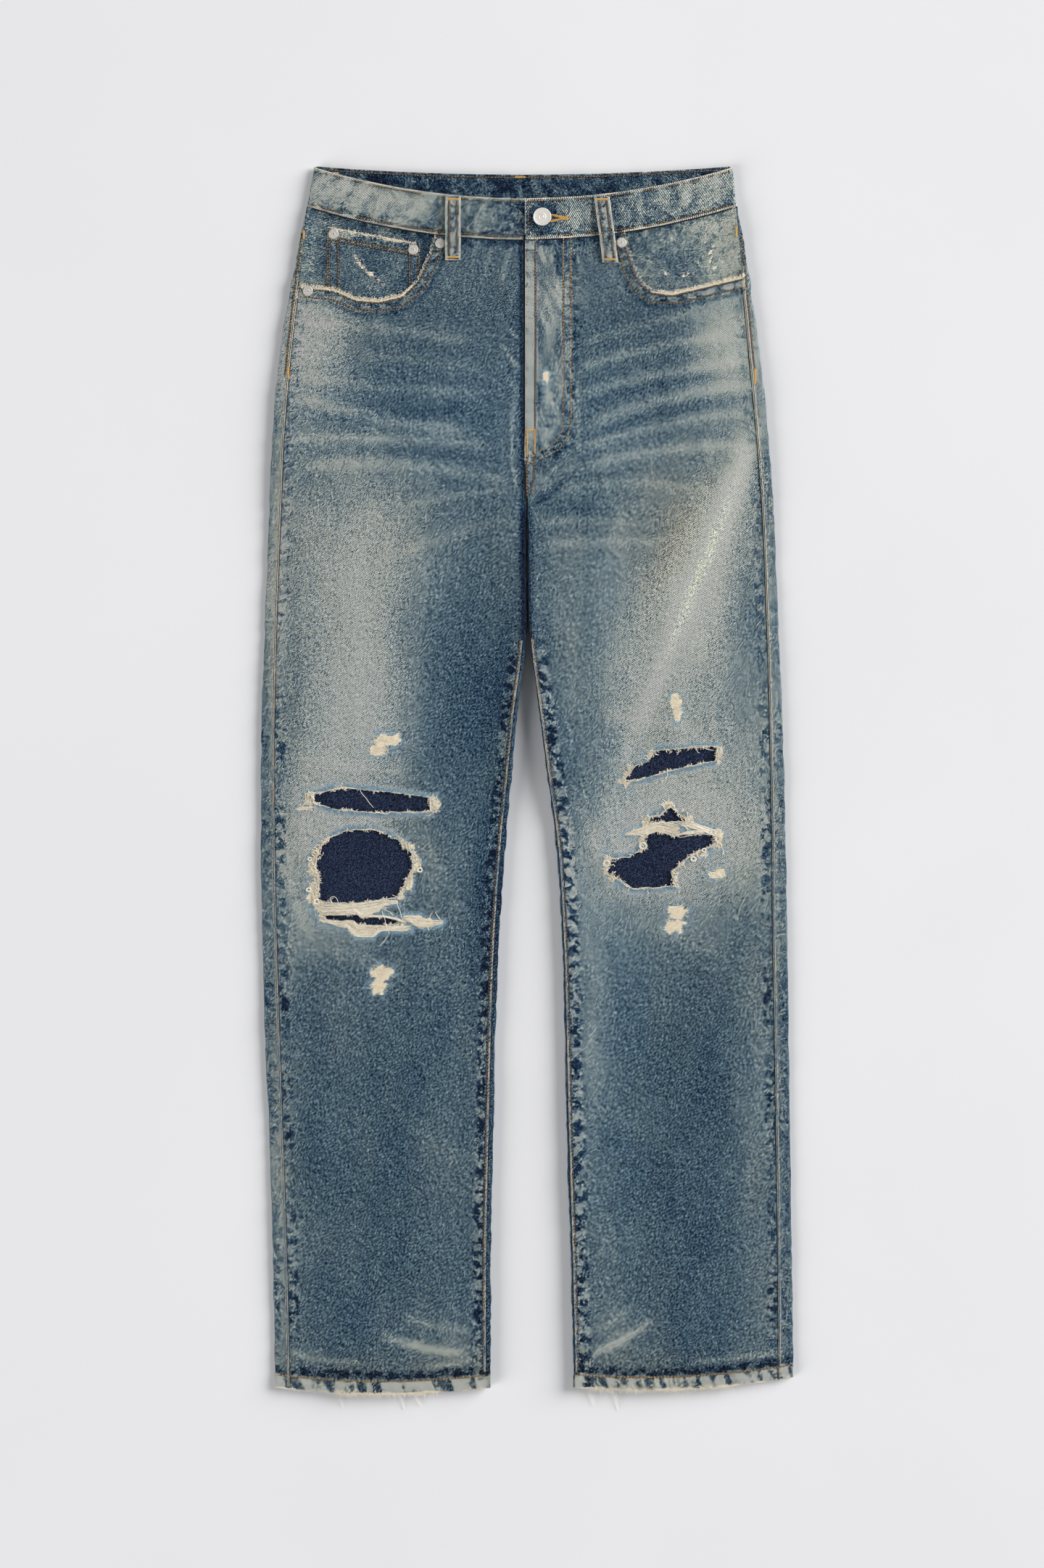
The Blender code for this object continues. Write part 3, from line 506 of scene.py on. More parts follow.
def fold_relief(x, y):
    """Height that the broad folds add."""
    total = np.zeros(np.broadcast(x, y).shape)
    for x0, y0, x1, y1, width, height in FOLDS.values():
        along, across, length = along_line(x, y, x0, y0, x1, y1)
        ends = smoothstep(along, -12, 25) * smoothstep(along, length + 12, length - 40)
        total = total + height * ends * bell(across, width)
    return total


def top_height(x, y):
    """Height of the front's outer face over a place in plan, as in the CAD."""
    split = smoothstep(y, 300, 190)
    rise = (1 - split) * crown(torso_place(x, y)) + split * crown(leg_place(x, y))
    low = under_height(y) + 2 * FOLD_R
    place = (1 - split) * np.abs(torso_place(x, y)) + split * np.abs(leg_place(x, y))
    middle = np.abs(x - leg_split(y))
    inner = split * smoothstep(place, 0.68, 0.95) * smoothstep(middle, 110, 90)
    low = low + EDGE_RISE * inner * (1 - 0.5 * rise)
    low = low + CROTCH_RISE * band(y, 10, 215, 60) * smoothstep(middle, 48, 14) * (1 - 0.7 * rise)
    flap = smoothstep(x, -2.6, -2.4) * smoothstep(x, FLY_STITCH_X + 3, FLY_STITCH_X - 2)
    flap = flap * smoothstep(y, FLY_END - 8, FLY_END + 6) * smoothstep(y, 498, 486)
    edge = np.minimum(1, rise * 1.6)
    return low + (at(y, "top") - low) * rise + fold_relief(x, y) * edge + FLY_RISE * flap


def hem_shift(x, level):
    """How far the hem's sag and tilt move a level in plan."""
    place = leg_place(x, level)
    near = smoothstep(level, -430, HEM)
    tilt = np.where(x > 0, LEFT_HEM_RISE * 0.5 * (1 - place), 0)
    return near * (tilt - HEM_SAG * np.clip(1 - place ** 2, 0, 1))


def hem_line(x):
    """Level in plan of the hem's edge."""
    return HEM + hem_shift(x, np.full(np.shape(x), HEM))


def arched(x, level, dip):
    """A level that dips in the middle of the waist."""
    return level - dip * np.clip(1 - torso_place(x, level) ** 2, 0, 1)


def front_level(x, level):
    """Where a level of the front lies in plan: the waist dips and the hem sags."""
    return arched(x, level, FRONT_DIP * smoothstep(level, 395, BAND_SEAM)) + hem_shift(x, level)


def front_seam(x):
    """Level in plan of the waistband seam on the front."""
    return arched(x, BAND_SEAM, FRONT_DIP)


def front_top(x):
    """Level in plan of the waistband's upper edge on the front."""
    return arched(x, BAND_TOP, FRONT_TOP_DIP)


def back_top(x):
    """Level in plan of the waistband's upper edge on the back."""
    return arched(x, BAND_TOP, BACK_TOP_DIP) + 1.5


def back_seam(x):
    """Level in plan of the waistband seam on the back."""
    return arched(x, BAND_SEAM, 0.2 * BACK_TOP_DIP)


def yoke_seam(x):
    """Level in plan of the seam between the yokes and the back legs."""
    return YOKE_SIDE - (YOKE_SIDE - YOKE_CENTRE) * np.clip(1 - np.abs(torso_place(x, YOKE_SIDE)), 0, 1)


class ClothLine:
    """Outer face of one leg, with its half of the seat, at a level, as in the CAD but finer."""

    LEAD, TURN, UNDER, OVER = 4, 24, 40, 150

    def __init__(self, side, level):
        out = OUTWARD[side]
        edge, inner = (float(at(level, f"{side}_{end}")) for end in ("edge", "inner"))
        under = float(under_height(level))
        inner_r = FOLD_R * float(smoothstep(level, CROTCH + 5, CROTCH - 16))
        fold_x = edge - out * FOLD_R
        wall_x = inner + out * inner_r

        def top_at(x):
            return top_height(x, front_level(x, level))

        def fold(centre_x, reach, begin, end):
            half = 0.5 * (float(top_at(np.array(centre_x))) - under)
            angle = np.linspace(begin, end, self.TURN + 1)
            return centre_x + reach * np.cos(angle), under + half + half * np.sin(angle)

        quarter = math.pi / 2
        lead_x = wall_x + out * np.array([8.0, 5.0, 2.0, 0.2, 0.0])
        under_x = np.linspace(wall_x, fold_x, self.UNDER + 1)
        over_x = np.append(np.linspace(fold_x, wall_x + out * 0.2, self.OVER), wall_x)
        inner_wall = fold(wall_x, -out * inner_r, quarter, -quarter)
        parts = [(lead_x, top_at(lead_x)), inner_wall, (under_x, np.full(len(under_x), under)),
                 fold(fold_x, out * FOLD_R, -quarter, quarter), (over_x, top_at(over_x)), inner_wall]
        self.x = np.concatenate([part[0][:-1] for part in parts] + [inner_wall[0][-1:]])
        self.z = np.concatenate([part[1][:-1] for part in parts] + [inner_wall[1][-1:]])
        run = np.concatenate([[0], np.cumsum(np.hypot(np.diff(self.x), np.diff(self.z)))])
        corner = self.LEAD + self.TURN
        fold_start = corner + self.UNDER
        top_start = fold_start + self.TURN
        self.run = run - run[fold_start + self.TURN // 2]
        self.wall_middle = self.run[self.LEAD + self.TURN // 2]
        self.under_corner = self.run[corner]
        self.under_fold = self.run[fold_start]
        self.top_fold = self.run[top_start]
        self.top_corner = self.run[top_start + self.OVER]
        self.end_middle = self.run[top_start + self.OVER + self.TURN // 2]
        self.normal_x = out * np.gradient(self.z, self.run)
        self.normal_z = -out * np.gradient(self.x, self.run)

    def sample(self, runs):
        """Place and outward direction at lengths along the line."""
        return [np.interp(runs, self.run, v) for v in (self.x, self.z, self.normal_x, self.normal_z)]


@functools.lru_cache(maxsize=None)
def cloth_line(side, level):
    """The line at a level, worked out once."""
    return ClothLine(side, level)


def outseam(level):
    """Length from the middle of the outer fold to the side seam."""
    return float(at(level, "wrap"))


def inseam_climb(level):
    """How far the inseam lies up from the middle of the inner fold."""
    return 4.6 * float(smoothstep(level, CROTCH, CROTCH - 33))


def inseam_half(level):
    """How far either panel stops short of the inseam, which opens out at the crotch."""
    return GAP / 2 + 0.5 * float(smoothstep(level, 180, 200))


def front_end(line, level):
    """Length at which the front panel ends, at the centre seam or the inseam."""
    if level > CENTRE_SEAM:
        return line.top_corner
    return line.end_middle - inseam_climb(level) - inseam_half(level)


def back_begin(line, level):
    """Length at which the back panel begins."""
    if level > CENTRE_SEAM:
        return line.under_corner
    return line.wall_middle - inseam_climb(level) + inseam_half(level)


SEAM_LEVELS = np.linspace(HEM, BAND_SEAM, 216)


@functools.lru_cache(maxsize=None)
def seam_table(side):
    """Plan place of a panel's outer seam and inner edge at each of SEAM_LEVELS."""
    lines = [cloth_line(side, float(level)) for level in SEAM_LEVELS]
    outer = [float(line.sample(outseam(level))[0]) for line, level in zip(lines, SEAM_LEVELS)]
    inner = [float(line.sample(front_end(line, level))[0]) for line, level in zip(lines, SEAM_LEVELS)]
    return {"outer": np.array(outer), "inner": np.array(inner)}


def seam_distances(x, y):
    """Distances in plan from the outer seam and from the inner edge of the leg that x is on."""
    x, y, on_right = np.broadcast_arrays(x, y, x < leg_split(y))
    result = []
    for seam in ("outer", "inner"):
        right, left = (np.interp(y, SEAM_LEVELS, seam_table(side)[seam]) for side in OUTWARD)
        result.append(np.abs(x - np.where(on_right, right, left)))
    return result


# ---------------------------------------------------------------- relief and wear of the front

def ripple(along, across, pitch, seed):
    """Puckers of a seam, -1 to 1: uneven bumps along it, leaning over as they leave it."""
    place = (along + 0.35 * across) / pitch
    bumps = noise(place * 2, across / 14, seed) + 0.45 * noise(place * 4.3, across / 6, seed + 1)
    return np.clip(1.3 * bumps, -1, 1)


def mouth_distance(x, y):
    """Distance in plan from the nearer pocket mouth."""
    return np.minimum(*[line_distance(x, y, mouth)[0] for mouth in POCKET_MOUTHS.values()])


def line_distance(x, y, points):
    """Distance from a line of points in plan, and the length along it to the nearest place."""
    best = np.full(np.broadcast(x, y).shape, 1e3)
    where = np.zeros(best.shape)
    start = 0.0
    for (x0, y0), (x1, y1) in zip(points, points[1:]):
        length = math.hypot(x1 - x0, y1 - y0)
        t = np.clip(((x - x0) * (x1 - x0) + (y - y0) * (y1 - y0)) / length ** 2, 0, 1)
        away = np.hypot(x - x0 - t * (x1 - x0), y - y0 - t * (y1 - y0))
        nearer = away < best
        best = np.where(nearer, away, best)
        where = np.where(nearer, start + t * length, where)
        start += length
    return best, where


def inside(x, y, outline):
    """Whether places in plan are inside an outline."""
    result = np.zeros(np.broadcast(x, y).shape, bool)
    for (x0, y0), (x1, y1) in zip(outline, outline[1:] + outline[:1]):
        if y0 == y1:
            continue
        crosses = (y0 > y) != (y1 > y)
        result ^= crosses & (x < x0 + (x1 - x0) * (y - y0) / (y1 - y0))
    return result


# ---- the curved stitching of the fly, from the band down and in to the edge
FLY_CURVE = [(39, 492), (39, 460), (39, 420), (39, 380), (39, 345), (39, 328), (38.6, 319), (35.3, 309),
             (29.1, 300.4), (20.4, 294.8), (9.3, 289.9), (-1.6, 285.3)]


def front_relief(x, y, own=True):
    """Height in millimetres that seams, creases and slack add to the front's outer face. Cloth
    that lies behind the panel leaves out what is the panel's own: its rims and pocket mouths."""
    d_out, d_in = seam_distances(x, y)
    total = 0.55 * fbm(x / 55, y / 85, 11) + 0.16 * fbm(x / 13, y / 16, 15)
    for x0, y0, x1, y1, bow, width, height, _ in CREASES.values():
        total = total + height * stroke(x, y, x0, y0, x1, y1, bow, width, 9)
    total = total + 0.7 * np.exp(-d_out / 1.2) + 0.75 * bell(d_out - 5, 7) * ripple(y, d_out, 11, 21)
    inseam = 0.5 * np.exp(-d_in / 1.4) + 0.7 * bell(d_in - 4, 5) * ripple(y, d_in, 12, 23)
    total = total + inseam * smoothstep(y, CROTCH + 2, CROTCH - 12)
    hem = y - hem_line(x)
    total = total + 0.9 * smoothstep(hem, 13.5, 11.5)
    total = total + 0.55 * band(hem, -1, 14, 6) * ripple(x + 0.9 * y, hem, 9, 25)
    waist = front_seam(x) - y
    total = total + 0.6 * np.exp(-np.abs(waist) / 12) * ripple(x, waist, 9, 27)
    if own:
        mouth = mouth_distance(x, y)
        total = total + 0.55 * smoothstep(mouth, 12.2, 10.8)
        total = total + 0.35 * band(mouth, 0, 11, 3) * ripple(x - y, mouth, 9, 29)
        torn = hole_distance(x, y)
        total = total + smoothstep(torn, 5, 0.5) * (0.5 + 0.5 * noise(x / 4, y / 4, 19))
    total = total + 0.45 * band(x, -2.4, 8.2, 0.4) * band(y, 290, 500, 3)
    stitched, along = line_distance(x, y, FLY_CURVE)
    total = total - 0.35 * bell(stitched, 1.3) - 0.35 * bell(stitched - 6.5, 1.3)
    total = total + 0.5 * bell(stitched - 3, 5) * ripple(along, stitched, 9, 31)
    return total + 0.5 * band(x, 10, 30, 4) * band(y, 300, 490, 6) * fbm(x / 14, y / 22, 33)


def signed_distance(x, y, outline):
    """Distance in plan from an outline, less than 0 inside it, worked out near it alone."""
    x, y = np.broadcast_arrays(x, y)
    ring = list(outline)
    low, high = np.min(ring, axis=0) - NEAR_HOLE, np.max(ring, axis=0) + NEAR_HOLE
    near = (x > low[0]) & (x < high[0]) & (y > low[1]) & (y < high[1])
    away = line_distance(x[near], y[near], ring + ring[:1])[0]
    result = np.full(x.shape, NOT_NEAR)
    result[near] = np.where(inside(x[near], y[near], ring), -away, away)
    return result


def hole_distance(x, y):
    """Distance in plan from the nearest torn edge, less than 0 inside a hole."""
    return functools.reduce(np.minimum, [signed_distance(x, y, hole) for hole in TORN_HOLES.values()])


def faces_sideways(x, y):
    """Whether the torn edge nearest to a place stands upright, 0 to 1: there the weft was cut."""
    change = np.abs(hole_distance(x + 0.8, y) - hole_distance(x - 0.8, y)) / 1.6
    return smoothstep(np.minimum(change, 1), 0.5, 0.8)


def between_lines(x, y, upper, lower):
    """How far a place lies inside a strip between two lines, in millimetres."""
    over = np.interp(x, *zip(*upper))
    under = np.interp(x, *zip(*lower))
    ends = np.minimum(x - upper[0][0], upper[-1][0] - x) * 0.6
    return np.minimum(np.minimum(over - y, y - under), ends)


def spot(x, y, row, ragged=0.35):
    """How far a place is inside a rubbed spot with a ragged edge, 0 to 1."""
    cx, cy, rx, ry = row
    away = np.hypot((x - cx) / rx, (y - cy) / ry) + ragged * fbm(x / 4, y / 2.2, 41, 2)
    return smoothstep(away, 1.15, 0.75)


def fade_and_shade_at(x, y):
    """Broad fading of the front, with painted shade on the right inner thigh."""
    total = BASE_WEAR + 0.035 * fbm(x / 40, y / 70, 51) + 0.02 * fbm(x / 6, y / 30, 55)
    for cx, cy, rx, ry, turn, amount in FADES.values():
        c, s = math.cos(math.radians(turn)), math.sin(math.radians(turn))
        u = (x - cx) * c + (y - cy) * s
        v = (y - cy) * c - (x - cx) * s
        total = total + amount * blob(u, v, 0, 0, rx, ry)
    return total


def front_wear_and_shade(x, y):
    """Fading of the front with its creases, seams and rims, with painted shade in crease troughs and beside
    the crotch; and how bare its cotton is.
    """
    d_out, d_in = seam_distances(x, y)
    wear = fade_and_shade_at(x, y)
    # a crease whose last value is less than 0 is darker along its trough: painted shade
    for x0, y0, x1, y1, bow, width, _, pale in CREASES.values():
        strong = 1.25 if pale > 0 else 0.8
        wear = wear + strong * pale * stroke(x, y, x0, y0, x1, y1, bow, 0.75 * width, 12)
    on_leg = smoothstep(y, CROTCH + 2, CROTCH - 12)
    low_leg = smoothstep(y, 150, 90)
    pucker = band(d_out, 3, 10, 2.5) * (0.7 + 0.5 * noise(y / 40, 0, 22))
    pucker = pucker * (1 - 0.5 * smoothstep(y, -20, 200))
    on_right = x < leg_split(y)
    near_edge = np.where(on_right, band(d_in, 6.5, 13, 3), band(d_in, 3.5, 13, 3))
    pucker = np.maximum(pucker, 1.15 * near_edge * low_leg)
    wear = wear + near_edge * low_leg * 0.07
    groove = np.where(on_right, smoothstep(d_in, 4.2, 2.6), smoothstep(d_in, 1.6, 0.6))
    wear = wear - 0.08 * groove * low_leg
    # painted shade: the thigh darkens towards its inner edge beside the crotch, most on the right leg
    crotch_edge_shade = on_leg * (1 - low_leg) * np.where(on_right, 1.0, 0.45)
    wear = wear - 0.34 * smoothstep(d_in, 7.5, 1.5) * crotch_edge_shade
    hem = y - hem_line(x)
    rope = 1.2 * band(hem, 0, 11, 1.5)
    wear = wear + 0.21 * band(hem, 0, 12.5, 1.5)
    pucker = np.maximum(pucker, band(hem, 14.5, 19, 3))
    wear = wear - 0.12 * band(hem, 14, 18, 2.5)
    waist = front_seam(x) - y
    pucker = np.maximum(pucker, 0.5 * smoothstep(waist, 14, 4))
    wear = wear - 0.10 * smoothstep(waist, 9, 2)
    mouth = mouth_distance(x, y)
    pucker = np.maximum(pucker, 0.6 * band(mouth, 2, 9.5, 1.5))
    wear = wear + 0.06 * band(mouth, 0, 11, 1)
    wear = wear - 0.12 * band(mouth, 12.5, 14, 1.5)
    stitched = line_distance(x, y, FLY_CURVE)[0]
    pucker = np.maximum(pucker, 0.6 * bell(stitched - 3, 4))
    edge_band = band(x, -2.4, 8, 0.6) * band(y, 290, 498, 3)
    wear = wear + edge_band * (0.08 + 0.10 * ripple(y, x, 8, 35))
    lumps = band(x, 9, 30, 3) * band(y, 296, 492, 6)
    wear = wear + lumps * (0.02 + 0.12 * fbm(x / 9, y / 22, 37))
    rope = np.maximum(rope, 0.25 * lumps)
    cream = 0.30 * bell(d_out, 1.0) * smoothstep(y, -200, 100)
    cream = np.maximum(cream, 0.8 * smoothstep(hem, 1.6, 0.3) * smoothstep(noise(x / 14, 0, 45), -0.5, 0.3))
    cream = np.maximum(cream, 0.6 * bell(x + 2.4, 1.0) * band(y, 290, 498, 2))
    frayed = np.where(x < 0, smoothstep(x, -95, -118), smoothstep(x, 100, 125))
    cream = np.maximum(cream, (0.35 + 0.55 * frayed) * smoothstep(mouth, 2.6, 0.8))
    near_hole = hole_distance(x, y)
    sides = faces_sideways(x, y)
    ragged = noise(x / 3.2, y / 3.2, 47) + 0.6 * noise(x / 1.2, y / 1.2, 48)
    fuzz = smoothstep(near_hole - 1.1 * ragged, 4.6, 2.8) * (1 - 0.6 * sides)
    wear = wear + 0.10 * smoothstep(near_hole, 8, 3)
    cream = np.maximum(cream, 0.9 * sides * smoothstep(near_hole - 1.4 * ragged, 4.4, 2.6))
    cream = np.maximum(cream, 0.8 * smoothstep(near_hole - 0.5 * ragged, 1.0, 0.4))
    for row in list(RUBBED.values()) + list(TUFTS.values()):
        worn = spot(x, y, row)
        cream = np.maximum(cream, 0.95 * worn)
        halo = spot(x, y, (row[0], row[1], row[2] + 2.0, row[3] + 2.0), 0.7)
        fuzz = np.maximum(fuzz, 0.7 * halo)
    for upper, lower in BARE_WEFT.values():
        deep = between_lines(x, y, upper, lower) + 0.5 * fbm(x / 5, y / 2, 49, 2)
        gaps = 0.30 * smoothstep(noise(x / 6, y / 0.9, 50), 0.25, 0.6)
        cream = np.maximum(cream, (1 - gaps) * smoothstep(deep, -0.4, 0.5))
        fuzz = np.maximum(fuzz, 0.9 * smoothstep(deep + 1.2 * ragged, -3.6, -1.6))
    return {"wear": np.clip(wear, 0, 1), "cream": np.clip(cream, 0, 1), "fuzz": np.clip(fuzz, 0, 1),
            "tone": tone_at(x, y), "pucker": np.clip(pucker, 0, 1.2), "rope": np.clip(rope, 0, 1.2)}


def tone_at(x, y):
    """Broad change of hue over the front: yellower where it is more than 0, bluer where less."""
    total = 0.08 * fbm(x / 30, y / 60, 57)
    for *place, amount in TONES.values():
        total = total + amount * blob(x, y, *place)
    return total


def surface(x, y):
    """Height of the dressed front over a place in plan."""
    x, y = np.asarray(x, float), np.asarray(y, float)
    return top_height(x, y) + front_relief(x, y)


def back_relief(x, y):
    """Slack of the hidden back. It only goes in, because the back lies on the ground."""
    hollow = 0.5 + 0.5 * np.clip(fbm(x / 45, y / 30, 61), -1, 1)
    lines = np.maximum(0, ripple(y, x, 34, 63)) * band(np.abs(x), 40, 200, 30)
    return -0.9 * hollow - 0.8 * lines


def back_wear(x, y):
    """Fading of the hidden back: the seat, the thighs and the creases behind the knees."""
    wear = 0.30 + 0.05 * fbm(x / 40, y / 60, 65) + 0.03 * fbm(x / 7, y / 22, 67)
    for out in OUTWARD.values():
        wear = wear + 0.20 * blob(x, y, 108 * out, 330, 60, 70)
        wear = wear + 0.14 * blob(x, y, 125 * out, 130, 50, 120)
        wear = wear - 0.05 * blob(x, y, 135 * out, -330, 70, 150)
    folds = ripple(y, x, 30, 63) * bell(y + 60, 90)
    return np.clip(wear + 0.10 * folds, 0, 1)


# ---------------------------------------------------------------- meshes

def grid_quads(rows, columns):
    index = np.arange(rows * columns).reshape(rows, columns)
    return np.stack([index[:-1, :-1], index[:-1, 1:], index[1:, 1:], index[1:, :-1]], -1).reshape(-1, 4)


def grid_normals(points, towards):
    """Unit normals of a grid of points, on the side that towards is on."""
    normal = np.cross(np.gradient(points, axis=1), np.gradient(points, axis=0))
    normal = normal / np.maximum(np.linalg.norm(normal, axis=2, keepdims=True), 1e-9)
    return normal * np.sign(np.sum(normal * towards))


def shell(node, outer, inner, coord, fields, materials, faces=None):
    shape = outer.shape[:-1]
    faces = faces or [grid_quads(*shape)]
    outer, inner, coord = (v.reshape(-1, v.shape[-1]) for v in (outer, inner, coord))
    count = len(outer)
    edges = np.concatenate([np.column_stack([f[:, k], np.roll(f, -1, axis=1)[:, k]])
                            for f in faces for k in range(f.shape[1])])
    key = edges[:, 0] * count + edges[:, 1]
    back = edges[:, 1] * count + edges[:, 0]
    rim = edges[~np.isin(key, back)]
    rim = np.column_stack([rim[:, 1], rim[:, 0], rim[:, 0] + count, rim[:, 1] + count])
    shown = [face for f in faces for face in f.tolist()]
    hidden = [face for f in faces for face in (f[:, ::-1] + count).tolist()]
    lists = shown + hidden + rim.tolist()
    points = np.concatenate([outer, inner]) * MM
    corners = np.concatenate([f[:, [0, k, k + 1]] for f in faces for k in range(1, f.shape[1] - 1)])
    wall = rim[:, [[0, 1, 2], [0, 2, 3]]].reshape(-1, 3)
    solid = points[np.concatenate([corners, corners[:, ::-1] + count, wall])]
    volume = np.sum(solid[:, 0] * np.cross(solid[:, 1], solid[:, 2]))
    if volume < 0:
        lists = [f[::-1] for f in lists]
    mesh = bpy.data.meshes.new(f"worn_{node}")
    mesh.from_pydata(points.tolist(), [], lists)
    picked = np.zeros(len(lists), np.int32)
    picked[len(shown):len(shown) + len(hidden)] = len(materials) - 1
    mesh.polygons.foreach_set("material_index", picked)
    if node.endswith("_l"):
        # measured from the side seam, so turned round to keep the twill's lean the same
        coord = coord * [-1, 1]
    layer = mesh.uv_layers.new(name="cloth")
    corner = np.zeros(len(mesh.loops), np.int32)
    mesh.loops.foreach_get("vertex_index", corner)
    layer.data.foreach_set("uv", (coord[corner % count] * MM).astype(np.float32).ravel())
    for field, value in fields.items():
        both = value if isinstance(value, tuple) else (value, value)
        both = np.concatenate([np.broadcast_to(v, shape).ravel() for v in both]).astype(np.float32)
        mesh.attributes.new(field, "FLOAT", "POINT").data.foreach_set("value", both)
    piece = finish_piece(mesh, materials, sharp=SHARP_EDGE)
    stand_for(piece, node)
    return piece


def stand_for(piece, node):
    """Let a piece take the place of its CAD node."""
    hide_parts(node)


def finish_piece(mesh, materials, sharp=None):
    """An object from a mesh, of the same name, that rides on the root body."""
    mesh.shade_smooth()
    if sharp:
        mesh.set_sharp_from_angle(angle=math.radians(sharp))
    for material in materials:
        mesh.materials.append(material)
    obj = bpy.data.objects.new(mesh.name, mesh)
    bpy.context.scene.collection.objects.link(obj)
    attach(obj, "root")
    return obj


def jagged(outline, seed, step=1.1, amount=0.55, closed=True):
    """An outline, or an open line without its last point, in short steps and torn unevenly."""
    points = []
    ends = outline[1:] + outline[:1] if closed else outline[1:]
    for (x0, y0), (x1, y1) in zip(outline, ends):
        length = math.hypot(x1 - x0, y1 - y0)
        pieces = max(1, round(length / step))
        for t in np.arange(pieces) / pieces:
            x, y = x0 + (x1 - x0) * t, y0 + (y1 - y0) * t
            off = amount * float(noise(x / 1.3, y / 1.3, seed) + 0.8 * noise(x / 5, y / 5, seed + 1))
            points.append((x + off * (y1 - y0) / length, y - off * (x1 - x0) / length))
    return points


def anticlockwise(ring):
    """An outline's points as an array, the way round that has its inside on the left."""
    ring = np.array(ring)
    area = np.sum(ring[:, 0] * np.roll(ring[:, 1], -1) - ring[:, 1] * np.roll(ring[:, 0], -1))
    return ring[::-1] if area < 0 else ring


def cut_out(plan, fields, quads, outlines):
    """Cut plan outlines out of a grid of quads. Returns the plan places, the fields and the faces,
    with new points along each outline and on two finer rings round it."""
    a, b, c = plan[quads[0, 0]], plan[quads[0, 1]], plan[quads[0, 2]]
    if (b[0] - a[0]) * (c[1] - a[1]) - (b[1] - a[1]) * (c[0] - a[0]) < 0:
        quads = quads[:, ::-1]
    away = functools.reduce(np.minimum, [signed_distance(*plan.T, outline) for outline in outlines])
    at_corners = away[quads]
    kept = np.all(at_corners > KEEP_FROM, axis=1)
    cut = ~kept & ~np.all(at_corners < DROP_FROM, axis=1)
    used, local = np.unique(quads[cut], return_inverse=True)
    coords = plan[used].tolist()
    faces = local.reshape(-1, 4).tolist()
    first_outline = len(faces)
    for outline in outlines:
        ring = anticlockwise(outline)
        faces.append(list(range(len(coords), len(coords) + len(ring))))
        coords += ring.tolist()
        along = np.roll(ring, -1, axis=0) - np.roll(ring, 1, axis=0)
        out = np.column_stack([along[:, 1], -along[:, 0]])
        out = out / np.maximum(np.linalg.norm(out, axis=1, keepdims=True), 1e-9)
        for reach in FINER_RINGS:
            extra = ring + out * reach
            clear = np.abs(signed_distance(*extra.T, outline)) > reach * 0.75
            coords += extra[clear].tolist()
    places = [Vector(p) for p in coords]
    spots, _, tiles, _, _, from_faces = delaunay_2d_cdt(places, [], faces, 1, 1e-4, True)
    spots = np.array([tuple(p) for p in spots])
    corner_plan = plan[used]
    corner_fields = fields[used]
    value = np.zeros((len(spots), fields.shape[1]))
    known = np.zeros(len(spots), bool)
    triangles = []
    for tile, origins in zip(tiles, from_faces):
        if any(k >= first_outline for k in origins) or not origins:
            continue
        triangles.append(tile)
        quad = faces[origins[0]]
        for v in tile:
            if not known[v]:
                known[v] = True
                value[v] = in_quad(spots[v], corner_plan[quad], corner_fields[quad])
    triangles = np.array(triangles)
    base = len(plan)
    plan = np.concatenate([plan, spots])
    fields = np.concatenate([fields, value])
    # points of the grid keep their own number, so that the seams between kept and cut stay closed
    nearest = {tuple(np.round(p, 3)): int(k) for p, k in zip(corner_plan, used)}
    number = np.array([nearest.get(tuple(np.round(p, 3)), base + k) for k, p in enumerate(spots)])
    faces = [quads[kept], number[triangles]]
    live = np.unique(np.concatenate([f.ravel() for f in faces]))
    renumber = np.zeros(len(plan), int)
    renumber[live] = np.arange(len(live))
    return plan[live], fields[live], [renumber[f] for f in faces]


def in_quad(spot, plan, fields):
    """Fields at a place in a quad, from its corners."""
    best = None
    for tri in ((0, 1, 2), (0, 2, 3)):
        a, b, c = plan[list(tri)]
        area = (b[0] - a[0]) * (c[1] - a[1]) - (b[1] - a[1]) * (c[0] - a[0])
        u = ((b[0] - spot[0]) * (c[1] - spot[1]) - (b[1] - spot[1]) * (c[0] - spot[0])) / area
        v = ((c[0] - spot[0]) * (a[1] - spot[1]) - (c[1] - spot[1]) * (a[0] - spot[0])) / area
        share = np.array([u, v, 1 - u - v])
        if best is None or share.min() > best[0]:
            best = (share.min(), share @ fields[list(tri)])
    return best[1]


def tubes(paths, radii, sides=4):
    """Points and faces of many thin tubes at once. paths is (tubes, rings, 3) in millimetres."""
    count, rings = paths.shape[:2]
    along = np.gradient(paths, axis=1)
    along = along / np.maximum(np.linalg.norm(along, axis=2, keepdims=True), 1e-9)
    side = np.cross(along, np.array([0.0, 0.0, 1.0]))
    side = np.where(np.linalg.norm(side, axis=2, keepdims=True) < 0.05, np.array([1.0, 0, 0]), side)
    side = side / np.linalg.norm(side, axis=2, keepdims=True)
    other = np.cross(side, along)
    turn = np.arange(sides) * 2 * math.pi / sides - math.pi / 2
    ring = (np.cos(turn)[:, None] * side[:, :, None, :] + np.sin(turn)[:, None] * other[:, :, None, :])
    points = paths[:, :, None, :] + ring * radii[:, :, None, None]
    points[..., 2] = np.maximum(points[..., 2], THREAD_OFF_GROUND)
    index = np.arange(count * rings * sides).reshape(count, rings, sides)
    low, high = index[:, :-1], index[:, 1:]
    quads = np.stack([low, high, np.roll(high, -1, axis=2), np.roll(low, -1, axis=2)], -1)
    return points.reshape(-1, 3), quads.reshape(-1, 4)


